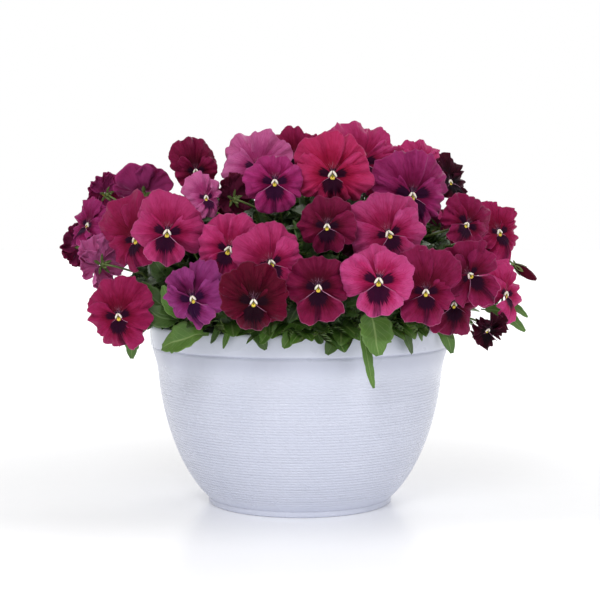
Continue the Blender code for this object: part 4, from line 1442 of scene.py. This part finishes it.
# %% Leaf tree
def make_leaf_tree():
    """Sets one of four leaf shapes on each point, by the point's own values."""
    tree, recipe, given, result = geometry_tree(
        "set_leaves",
        ("Material", "Material"),
        ("Seed", "Int"),
        *[(leaf.name, "Object") for leaf in LEAF_SHAPES],
    )
    joined = recipe.node("GeometryNodeGeometryToInstance")
    for leaf in reversed(LEAF_SHAPES):
        source = recipe.node("GeometryNodeObjectInfo", {"Object": given[leaf.name]})
        recipe.tree.links.new(source.outputs["Geometry"], joined.inputs[0])
    turn = recipe.node("GeometryNodeInputNamedAttribute", {"Name": "turn"}, data_type="FLOAT_VECTOR")
    size = recipe.node("GeometryNodeInputNamedAttribute", {"Name": "size"}, data_type="FLOAT")
    which = recipe.node("GeometryNodeInputNamedAttribute", {"Name": "which"}, data_type="INT")
    spots = recipe.node("GeometryNodeMeshToPoints", {"Mesh": given["Geometry"]})
    copies = recipe.node(
        "GeometryNodeInstanceOnPoints",
        {
            "Points": spots.outputs[0],
            "Instance": joined.outputs[0],
            "Pick Instance": True,
            "Instance Index": which.outputs[0],
            "Rotation": turn.outputs[0],
            "Scale": size.outputs[0],
        },
    )
    tint = recipe.node("FunctionNodeRandomValue", {"Seed": given["Seed"]}, data_type="FLOAT")
    marked = recipe.node(
        "GeometryNodeStoreNamedAttribute",
        {"Geometry": copies.outputs[0], "Name": "tint", "Value": tint.outputs[1]},
        data_type="FLOAT",
        domain="INSTANCE",
    )
    end_tree(recipe, marked.outputs[0], given["Material"], result)
    return tree


# %% Where leaves belong
LEAVES_PER_PLANT = 190
CENTRE_LEAVES = 100
DEEP_SHARE = 0.45


def solid_tree(pieces):
    """One search tree over several finished pieces."""
    points = []
    faces = []
    for piece in pieces:
        start = len(points)
        points += [vertex.co.copy() for vertex in piece.data.vertices]
        faces += [[start + index for index in face.vertices] for face in piece.data.polygons]
    return BVHTree.FromPolygons(points, faces)


standing = solid_tree([bowl] + [bpy.data.objects["petals_" + flower.name] for flower in FLOWERS])
LEAF_POINTS = [[vertex.co.copy() for vertex in leaf.data.vertices] for leaf in LEAF_SHAPES]


def leaf_fits(leaf, space=1.2 * MM):
    """True if no point of the leaf comes near a petal or the bowl."""
    size = Vector((leaf.size, leaf.size, leaf.size))
    turned = Matrix.LocRotScale(leaf.place, leaf.turn, size)
    return all(standing.find_nearest(turned @ point, space)[0] is None for point in LEAF_POINTS[leaf.which])


flower_trees = []
for flower in FLOWERS:
    solid = merged("bloom_" + flower.name)
    flower_trees.append(BVHTree.FromBMesh(solid))
    solid.free()


def clear_of_flowers(base, tip, side, space=2.0 * MM):
    for share in (0.25, 0.5, 0.75, 1.0):
        spot = base.lerp(tip, share)
        for reach in (-0.8, 0.0, 0.8):
            place = spot + side * reach
            for tree in flower_trees:
                if tree.find_nearest(place, space)[0] is not None:
                    return False
    return True


def clear_of_wall(base, tip):
    """A leaf may pass over the lip, never through the wall."""
    for k in range(9):
        place = base.lerp(tip, k / 8)
        away = math.hypot(place.x, place.y)
        if place.z < LIP_HEIGHT + 2.0 * MM and LIP_RADIUS - 9.0 * MM < away < LIP_RADIUS + 3.0 * MM:
            return False
        if place.z < LIP_HEIGHT - 6.0 * MM and away < LIP_RADIUS:
            return False
    return True


def leaf_turn(along, face):
    """Euler angles that lay a leaf's length along one way and its top to another."""
    along = along.normalized()
    across = along.cross(face).normalized()
    lift = across.cross(along)
    return Matrix((across, along, lift)).transposed().to_euler()


def surface_points(node, count, draw):
    """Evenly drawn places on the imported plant, with the way out at each."""
    bm = merged(node)
    bmesh.ops.triangulate(bm, faces=bm.faces)
    areas = [face.calc_area() for face in bm.faces]
    chosen = draw.choices(list(bm.faces), weights=areas, k=count)
    places = []
    for face in chosen:
        a, b, c = (vertex.co for vertex in face.verts)
        u = draw.random() ** 0.5
        v = draw.random()
        places.append((a * (1 - u) + b * u * (1 - v) + c * u * v, face.normal.copy()))
    bm.free()
    return places


Leaf = namedtuple("Leaf", "place turn size which")


def plant_leaves(node, count, draw):
    leaves = []
    for place, outward in surface_points(node, count * 3, draw):
        if outward.z < -0.4 or place.z < LIP_HEIGHT - 12 * MM or len(leaves) >= count:
            continue
        away = Vector((place.x, place.y, 0.0)).normalized()
        aside = Vector((-away.y, away.x, 0.0)) * draw.uniform(-0.8, 0.8)
        along = outward * 0.55 + aside + Vector((0.0, 0.0, draw.uniform(-0.25, 0.75))) + away * 0.3
        along.normalize()
        face = (outward * 0.5 + Vector((0.0, 0.0, 1.0)) + aside * 0.3).normalized()
        size = draw.uniform(0.72, 1.1)
        depth = draw.uniform(10, 30) if draw.random() < DEEP_SHARE else draw.uniform(2, 12)
        base = place - outward * depth * MM - along * 14 * MM
        side = along.cross(face).normalized() * 9 * MM * size
        tip = base + along * 46 * MM * size
        if clear_of_wall(base, tip) and clear_of_flowers(base + along * 10 * MM, tip, side):
            leaves.append(Leaf(base, leaf_turn(along, face), size, draw.randrange(4)))
    return leaves


def set_leaves(name, leaves, tree, material, seed):
    leaves = [leaf for leaf in leaves if leaf_fits(leaf)]
    mesh = bpy.data.meshes.new(name + "_spots")
    mesh.from_pydata([leaf.place for leaf in leaves], [], [])
    turns = mesh.attributes.new("turn", "FLOAT_VECTOR", "POINT")
    turns.data.foreach_set("vector", np.array([tuple(leaf.turn) for leaf in leaves]).ravel())
    sizes = mesh.attributes.new("size", "FLOAT", "POINT")
    sizes.data.foreach_set("value", [leaf.size for leaf in leaves])
    kinds = mesh.attributes.new("which", "INT", "POINT")
    kinds.data.foreach_set("value", [leaf.which for leaf in leaves])
    values = {"Material": material, "Seed": seed}
    values.update({leaf.name: leaf for leaf in LEAF_SHAPES})
    made = grown(piece_of(name + "_host", mesh), tree, values)
    made.shade_smooth()
    return piece_of(name, made)


leaf_tree = make_leaf_tree()
for seed, (node, count) in enumerate(
    [
        ("plant_centre", CENTRE_LEAVES),
        ("plant_front_left", LEAVES_PER_PLANT),
        ("plant_front_right", LEAVES_PER_PLANT),
        ("plant_back_left", LEAVES_PER_PLANT),
        ("plant_back_right", LEAVES_PER_PLANT),
    ]
):
    leaves = plant_leaves(node, count, random.Random(40 + seed))
    growth = set_leaves(node.replace("plant", "leaves"), leaves, leaf_tree, deep_leaf, seed)
    piece = keep(growth, "foliage", node)
    print(piece.name, len(leaves), "leaves")

# %% [markdown]
# ## Leaves over the lip
# Fresh leaves lean out over the lip all round. Four of them are solids of their own
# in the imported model; those follow the middle of their solid. The rest stand on a
# ring just inside the lip.


# %% The ring of fresh leaves
def ring_leaves(count, draw):
    leaves = []
    for k in range(count):
        bearing = math.tau * (k + draw.uniform(-0.35, 0.35)) / count
        away = Vector((math.cos(bearing), math.sin(bearing), 0.0))
        aside = Vector((-away.y, away.x, 0.0)) * draw.uniform(-0.9, 0.9)
        base = away * (LIP_RADIUS - draw.uniform(10, 24) * MM)
        base.z = LIP_HEIGHT + draw.uniform(5, 12) * MM
        along = (away + aside + Vector((0.0, 0.0, draw.uniform(-0.32, 0.25)))).normalized()
        face = (Vector((0.0, 0.0, 1.0)) + away * draw.uniform(0.0, 0.7)).normalized()
        size = draw.uniform(0.6, 1.1)
        side = along.cross(face).normalized() * 8 * MM * size
        tip = base + along * 44 * MM * size
        if clear_of_wall(base, tip) and clear_of_flowers(base + along * 10 * MM, tip, side):
            leaves.append(Leaf(base, leaf_turn(along, face), size, draw.randrange(4)))
    return leaves


# The mound under the flowers, as half axes.
DOME_WIDE = 172 * MM
DOME_DEEP = 160 * MM
DOME_HIGH = 128 * MM


def dome_leaves(count, draw):
    """Leaves that stand under the flowers, so no daylight shows between them."""
    leaves = []
    for _ in range(count):
        bearing = draw.uniform(0.0, math.tau)
        lift = math.asin(draw.uniform(0.02, 0.98))
        share = draw.uniform(0.74, 0.98)
        ring = math.cos(lift) * share
        base = Vector((math.cos(bearing) * ring * DOME_WIDE, math.sin(bearing) * ring * DOME_DEEP, 0.0))
        base.z = LIP_HEIGHT + 10 * MM + math.sin(lift) * share * DOME_HIGH
        level = math.cos(lift)
        away = Vector((math.cos(bearing) * level, math.sin(bearing) * level, math.sin(lift)))
        aside = Vector((-math.sin(bearing), math.cos(bearing), 0.0)) * draw.uniform(-1.0, 1.0)
        along = (away * 0.5 + aside + Vector((0.0, 0.0, draw.uniform(-0.3, 0.7)))).normalized()
        face = (away * 0.9 + Vector((0.0, 0.0, 0.5))).normalized()
        size = draw.uniform(0.7, 1.1)
        start = base - along * 20 * MM * size
        tip = start + along * 46 * MM * size
        side = along.cross(face).normalized() * 9 * MM * size
        if clear_of_wall(start, tip) and clear_of_flowers(start + along * 8 * MM, tip, side, 1.0 * MM):
            leaves.append(Leaf(start, leaf_turn(along, face), size, draw.randrange(4)))
    return leaves


under_leaves = dome_leaves(900, random.Random(31))
keep(set_leaves("leaves_under_flowers", under_leaves, leaf_tree, deep_leaf, 12), "foliage")
print(len(under_leaves), "leaves under the flowers")

rim_leaves = ring_leaves(150, random.Random(77))
keep(set_leaves("leaves_over_lip", rim_leaves, leaf_tree, fresh_leaf, 9), "foliage")
print(len(rim_leaves), "fresh leaves over the lip")


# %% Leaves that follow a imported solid
def spine_of(node, stations):
    """Middles of a packed leaf from its foot, the end nearer the bowl's axis, to its tip."""
    bm = merged(node)
    spots = np.array([vertex.co for vertex in bm.verts])
    bm.free()
    middle = spots.mean(0)
    ways = np.linalg.svd(spots - middle)[2]
    reach = (spots - middle) @ ways[0]
    order = np.argsort(reach)
    first = spots[order[0]]
    last = spots[order[-1]]
    if np.hypot(*first[:2]) > np.hypot(*last[:2]) + 2 * MM or first[2] < last[2]:
        reach = -reach
        order = order[::-1]
    cuts = np.linspace(reach.min(), reach.max(), stations)
    spine = []
    for cut in cuts:
        near = np.argsort(np.abs(reach - cut))[:4]
        spine.append(Vector(spots[near].mean(0)))
    spine[0] = Vector(spots[order[0]])
    spine[-1] = Vector(spots[order[-1]])
    return spine


def hanging_leaf(name, spine, width, teeth, material, slot_nodes, face=None, lobes=0.12):
    """A fine toothed leaf bent along a spine, as a closed thin body."""
    rows = 46
    columns = 13
    path = smooth_path(spine, 12)
    picks = np.linspace(0, len(path) - 1, rows)
    line = [path[int(pick)].lerp(path[min(int(pick) + 1, len(path) - 1)], pick % 1.0) for pick in picks]
    across = np.linspace(-1.0, 1.0, columns)
    sheet = np.zeros((rows, columns, 3))
    lanes = np.zeros((rows, columns, 3))
    for i, place in enumerate(line):
        t = i / (rows - 1)
        ahead = (line[min(i + 1, rows - 1)] - line[max(i - 1, 0)]).normalized()
        outward = face or Vector((place.x, place.y, 0.0)).normalized() + Vector((0.0, 0.0, 0.8))
        side = ahead.cross(outward).normalized()
        lift = side.cross(ahead)
        body = max((t - 0.10) / 0.90, 0.0)
        swell = math.sin(math.pi * min(body, 0.985) ** 0.9) ** 0.65 if body > 0 else 0.0
        half = 0.5 * width * (0.10 + 0.90 * swell)
        notch = abs(math.sin(math.pi * teeth * t))
        half *= 1.0 - lobes * (1.0 - notch) if 0.12 < t < 0.96 else 1.0
        for j, s in enumerate(across):
            bend = 0.22 * half * abs(s) ** 1.4 + 0.05 * half * math.sin(9.0 * t + 2.0 * s)
            spot = place + side * half * s + lift * bend
            sheet[i, j] = spot
            lanes[i, j] = (s, t, 0.0)
    normal = -grid_normals(sheet)
    flip = normal[rows // 2, columns // 2] @ np.array(outward)
    if flip < 0:
        sheet = sheet[:, ::-1]
        normal = -normal[:, ::-1]
        lanes = lanes[:, ::-1]
    thick = 0.45 * MM
    under = lanes.copy()
    under[..., 2] = 1.0
    top = (sheet + normal * thick / 2).reshape(-1, 3)
    bottom = (sheet - normal * thick / 2).reshape(-1, 3)
    points = np.concatenate([top, bottom])
    shape = Shape("blade")
    blade = np.concatenate([lanes.reshape(-1, 3), under.reshape(-1, 3)])
    shape.add(points, slab_faces(rows, columns), blade=blade)
    mesh = shape.mesh(name)
    bm = bmesh.new()
    bm.from_mesh(mesh)
    bmesh.ops.recalc_face_normals(bm, faces=bm.faces)
    bm.to_mesh(mesh)
    bm.free()
    mesh.shade_smooth()
    layer = mesh.attributes.new("tint", "FLOAT", "POINT")
    layer.data.foreach_set("value", [0.75] * len(mesh.vertices))
    return keep(piece_of(name, mesh, material), "foliage", *slot_nodes)


FORWARD = Vector((-0.25, -1.0, 0.45))
LEFT_LEAF_SAG = Vector((2.0, 0.0, -6.5)) * MM
for node, width, teeth, face in (
    ("lip_leaf_left", 35, 5, None),
    ("lip_leaf_side", 17, 5, FORWARD),
    ("lip_leaf_front", 33, 6, None),
    ("lip_leaf_narrow", 10, 6, None),
):
    name = node.replace("lip_leaf", "hanging_leaf")
    sag = LEFT_LEAF_SAG if node == "lip_leaf_left" else Vector()
    spine = [place + sag for place in spine_of(node, 6)]
    hanging_leaf(name, spine, width * MM, teeth, fresh_leaf, [node], face)


# %% Smaller leaves placed along the front of the lip
# foot and tip: millimetres to the right of the middle; drop: millimetres that the
# tip hangs below the lip; proud: millimetres that it stands off the wall
Drape = namedtuple("Drape", "name foot tip drop proud width teeth finish")
DRAPES = [
    Drape("sprig_left", -68, -82, 9, 5, 9, 3, deep_leaf),
    Drape("sprig_left_low", -60, -70, 13, 6, 8, 3, fresh_leaf),
    Drape("blade_left", -112, -96, 6, 7, 14, 4, deep_leaf),
    Drape("grey_pair", -46, -31, 13, 6, 14, 4, deep_leaf),
    Drape("grey_pair_upper", -22, -36, 7, 8, 13, 4, fresh_leaf),
    Drape("bright_fold", 2, -15, 11, 7, 16, 4, fresh_leaf),
    Drape("middle_leaf", 10, 20, 7, 6, 13, 4, deep_leaf),
    Drape("olive_tip", 48, 24, 17, 7, 18, 4, deep_leaf),
    Drape("serrated_right", 86, 104, 20, 6, 18, 6, deep_leaf),
    Drape("small_right", 108, 114, 9, 6, 11, 3, fresh_leaf),
    Drape("round_right", 126, 146, 24, 12, 16, 3, fresh_leaf),
]


def at_lip(across, radius, height):
    """A place by the front of the lip, from millimetres across and off the wall."""
    away = LIP_RADIUS + radius * MM
    x = max(min(across * MM, away * 0.97), -away * 0.97)
    return Vector((x, -math.sqrt(away ** 2 - x ** 2), LIP_HEIGHT + height * MM))


for drape in DRAPES:
    between = drape.foot * 0.6 + drape.tip * 0.4
    spine = [
        at_lip(drape.foot, -16, 12),
        at_lip(drape.foot * 0.85 + drape.tip * 0.15, -5, 12),
        at_lip(between, 3, 6),
        at_lip(drape.foot * 0.25 + drape.tip * 0.75, drape.proud, -drape.drop * 0.4),
        at_lip(drape.tip, drape.proud, -drape.drop),
    ]
    face = FORWARD if abs(drape.tip) > 120 else None
    hanging_leaf("drape_" + drape.name, spine, drape.width * MM, drape.teeth, drape.finish, [], face)


# %% Leaves that stand clear of the bowl at both sides
# foot, middle and tip in millimetres; width
OUTLIERS = {
    "lance_right": ((176, -52, 197), (197, -56, 194), (218, -60, 176), 13, fresh_leaf),
    "lance_right_small": ((192, -44, 202), (208, -48, 200), (222, -50, 189), 8, fresh_leaf),
    "stand_left": ((-112, -108, 196), (-132, -116, 208), (-147, -120, 226), 20, deep_leaf),
    "stand_left_low": ((-112, -112, 190), (-130, -118, 194), (-142, -122, 204), 22, deep_leaf),
    "stand_left_high": ((-108, -96, 216), (-126, -106, 232), (-138, -112, 250), 20, deep_leaf),
    "stand_left_fresh": ((-104, -112, 192), (-118, -124, 204), (-126, -128, 224), 15, fresh_leaf),
}
for name, (foot, middle, tip, width, finish) in OUTLIERS.items():
    spine = [Vector(foot) * MM, Vector(middle) * MM, Vector(tip) * MM]
    hanging_leaf("leaf_" + name, spine, width * MM, 5, finish, [], FORWARD)
for leaf in LEAF_SHAPES:
    bpy.data.objects.remove(leaf, do_unlink=True)

# %% [markdown]
# ## The closed bud
# Four dark petals are rolled round each other and held by the green sepals. The
# roll is one tapering body whose section turns as it goes, so its folds spiral.


# %% Bud
def make_bud():
    bm = merged("bud_right")
    spots = np.array([vertex.co for vertex in bm.verts])
    bm.free()
    middle = spots.mean(0)
    way = np.linalg.svd(spots - middle)[2][0]
    if way[0] < 0:
        way = -way
    reach = (spots - middle) @ way
    start = Vector(middle + way * reach.min())
    along = Vector(way)
    length = float(reach.max() - reach.min())
    side = along.cross(Vector((0.0, 0.0, 1.0))).normalized()
    lift = side.cross(along)
    rows = 26
    columns = 24
    points = []
    lanes = []
    faces_at = []
    for i in range(rows):
        t = i / (rows - 1)
        radius = 5.2 * MM * math.sin(math.pi * (0.10 + 0.86 * t)) ** 0.8
        for j in range(columns):
            angle = math.tau * j / columns
            fold = 1.0 + 0.16 * math.cos(4 * angle + 5.0 * t) * (0.3 + 0.7 * t)
            flare = 1.0 + 0.25 * max(t - 0.85, 0.0) / 0.15 * math.cos(3 * angle)
            spoke = side * math.cos(angle) + lift * math.sin(angle)
            points.append(start + along * length * (0.42 + 0.58 * t) + spoke * radius * fold * flare)
            faces_at.append((0.34 * math.cos(angle), 0.30 + 0.2 * t, UPPER))
            lanes.append((math.cos(4 * angle), 0.4 + 0.5 * t, 0.0))
    faces = []
    for i in range(rows - 1):
        for j in range(columns):
            k = (j + 1) % columns
            faces.append((i * columns + j, (i + 1) * columns + j, (i + 1) * columns + k, i * columns + k))
    faces.append(tuple(range(columns)))
    faces.append(tuple(reversed(range((rows - 1) * columns, rows * columns))))
    shape = Shape("face", "lane")
    shape.add(points, faces, face=faces_at, lane=lanes)
    mesh = shape.mesh("rolled_bud")
    bm = bmesh.new()
    bm.from_mesh(mesh)
    bmesh.ops.recalc_face_normals(bm, faces=bm.faces)
    bm.to_mesh(mesh)
    bm.free()
    mesh.shade_smooth()
    bud = Flower("bud", 0, 0, 0, 50, "velvet", 0.4, 0.0, 0.0)
    keep(piece_of("rolled_bud", mesh, petal_finish(bud, random.Random(2))), "petal_wine", "bud_right")
    green = Shape("blade")
    seat = start + along * length * 0.42
    for k in range(5):
        angle = math.tau * k / 5
        spoke = side * math.cos(angle) + lift * math.sin(angle)
        add_blade(green, seat + spoke * 2.4 * MM, along + spoke * 0.22, spoke, SEPAL)
        add_blade(green, seat + spoke * 2.0 * MM, -along + spoke * 0.35, spoke, EAR)
    end = start - Vector((start.x, start.y, 0.02)).normalized() * 45 * MM - Vector((0.0, 0.0, 12 * MM))
    path = smooth_path([seat, start, start.lerp(end, 0.5) + Vector((0.0, 0.0, 3 * MM)), end], 5)
    stalk_size = {"Radius": STALK_RADIUS, "Sides": 7, "Steps": 18}
    tube = grown(path_curve("bud_path", path), sweep_tree, stalk_size)
    points = [vertex.co.copy() for vertex in tube.vertices]
    faces = [tuple(face.vertices) for face in tube.polygons]
    green.add(points, faces, blade=[(0.35, 0.5, 0.0)] * len(points))
    mesh = green.mesh("bud_green")
    layer = mesh.attributes.new("tint", "FLOAT", "POINT")
    layer.data.foreach_set("value", [0.8] * len(mesh.vertices))
    keep(piece_of("bud_stalk", mesh, stem_green), "foliage")


make_bud()

# %% [markdown]
# ## The floor
# A plain white sheet, wide enough to fill the view. It belongs to the studio and not to the planter. Its
# glow is painted light: weak near the foot, so the planter's shadow still shows, and strongest far off, so
# it meets the white surround without a line. More painted light in front of the foot keeps the planter's
# reflection short.

# %% Floor
floor_mesh = bpy.data.meshes.new("studio_floor")
FLOOR_HALF = 9.0
NEAR_GLOW = 0.10
FRONT_GLOW = 0.19
corners = [(x * FLOOR_HALF, y * FLOOR_HALF, -0.0002) for x, y in ((-1, -1), (1, -1), (1, 1), (-1, 1))]
floor_mesh.from_pydata(corners, [], [(0, 1, 2, 3)])
sheet_finish, sheet_recipe, sheet_shader = new_material("white_sheet", roughness=0.22)
sheet_tones = sheet_recipe.node("ShaderNodeGroup", node_tree=SOFT_MOTTLE)
sheet_tones.inputs["Light"].default_value = (0.92, 0.92, 0.93, 1.0)
sheet_tones.inputs["Dark"].default_value = (0.91, 0.91, 0.92, 1.0)
sheet_recipe.tree.links.new(sheet_tones.outputs["Color"], sheet_shader.inputs["Base Color"])
place = sheet_recipe.node("ShaderNodeTexCoord").outputs["Object"]
reach = sheet_recipe.node("ShaderNodeVectorMath", {"Vector": place}, operation="LENGTH")
from_foot = reach.outputs["Value"]
# painted light: the floor's emission, weak near the foot and full far off
glow = sheet_recipe.ramp(from_foot, 0.2, 1.1, NEAR_GLOW, 1.0 - 0.9 * AMBIENT)
forward = sheet_recipe.node("ShaderNodeSeparateXYZ", {"Vector": place}).outputs["Y"]
# more painted light in front of the foot, which dims the planter's reflection
front = sheet_recipe.ramp(forward, -0.07, -0.24, 0.0, FRONT_GLOW)
glow = sheet_recipe.math("MINIMUM", sheet_recipe.math("ADD", glow, front), 1.0 - 0.9 * AMBIENT)
sheet_recipe.tree.links.new(sheet_recipe.vector(glow, glow, glow), sheet_shader.inputs["Emission Color"])
sheet_shader.inputs["Emission Strength"].default_value = 1.0
piece_of("studio_floor", floor_mesh, sheet_finish)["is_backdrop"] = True

# %% [markdown]
# ## Measuring up
# How far the finished model passes the box of the imported one is printed for each side.
# The finished model must fill the same box as the imported one.

# %% Sizes
low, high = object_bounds()
print(TOTAL["pieces"], "pieces,", TOTAL["triangles"], "triangles")
for axis in range(3):
    below = (cad_low[axis] - low[axis]) / MM
    above = (high[axis] - cad_high[axis]) / MM
    print("xyz"[axis], f"past the packed box: {below:.1f} mm below, {above:.1f} mm above")
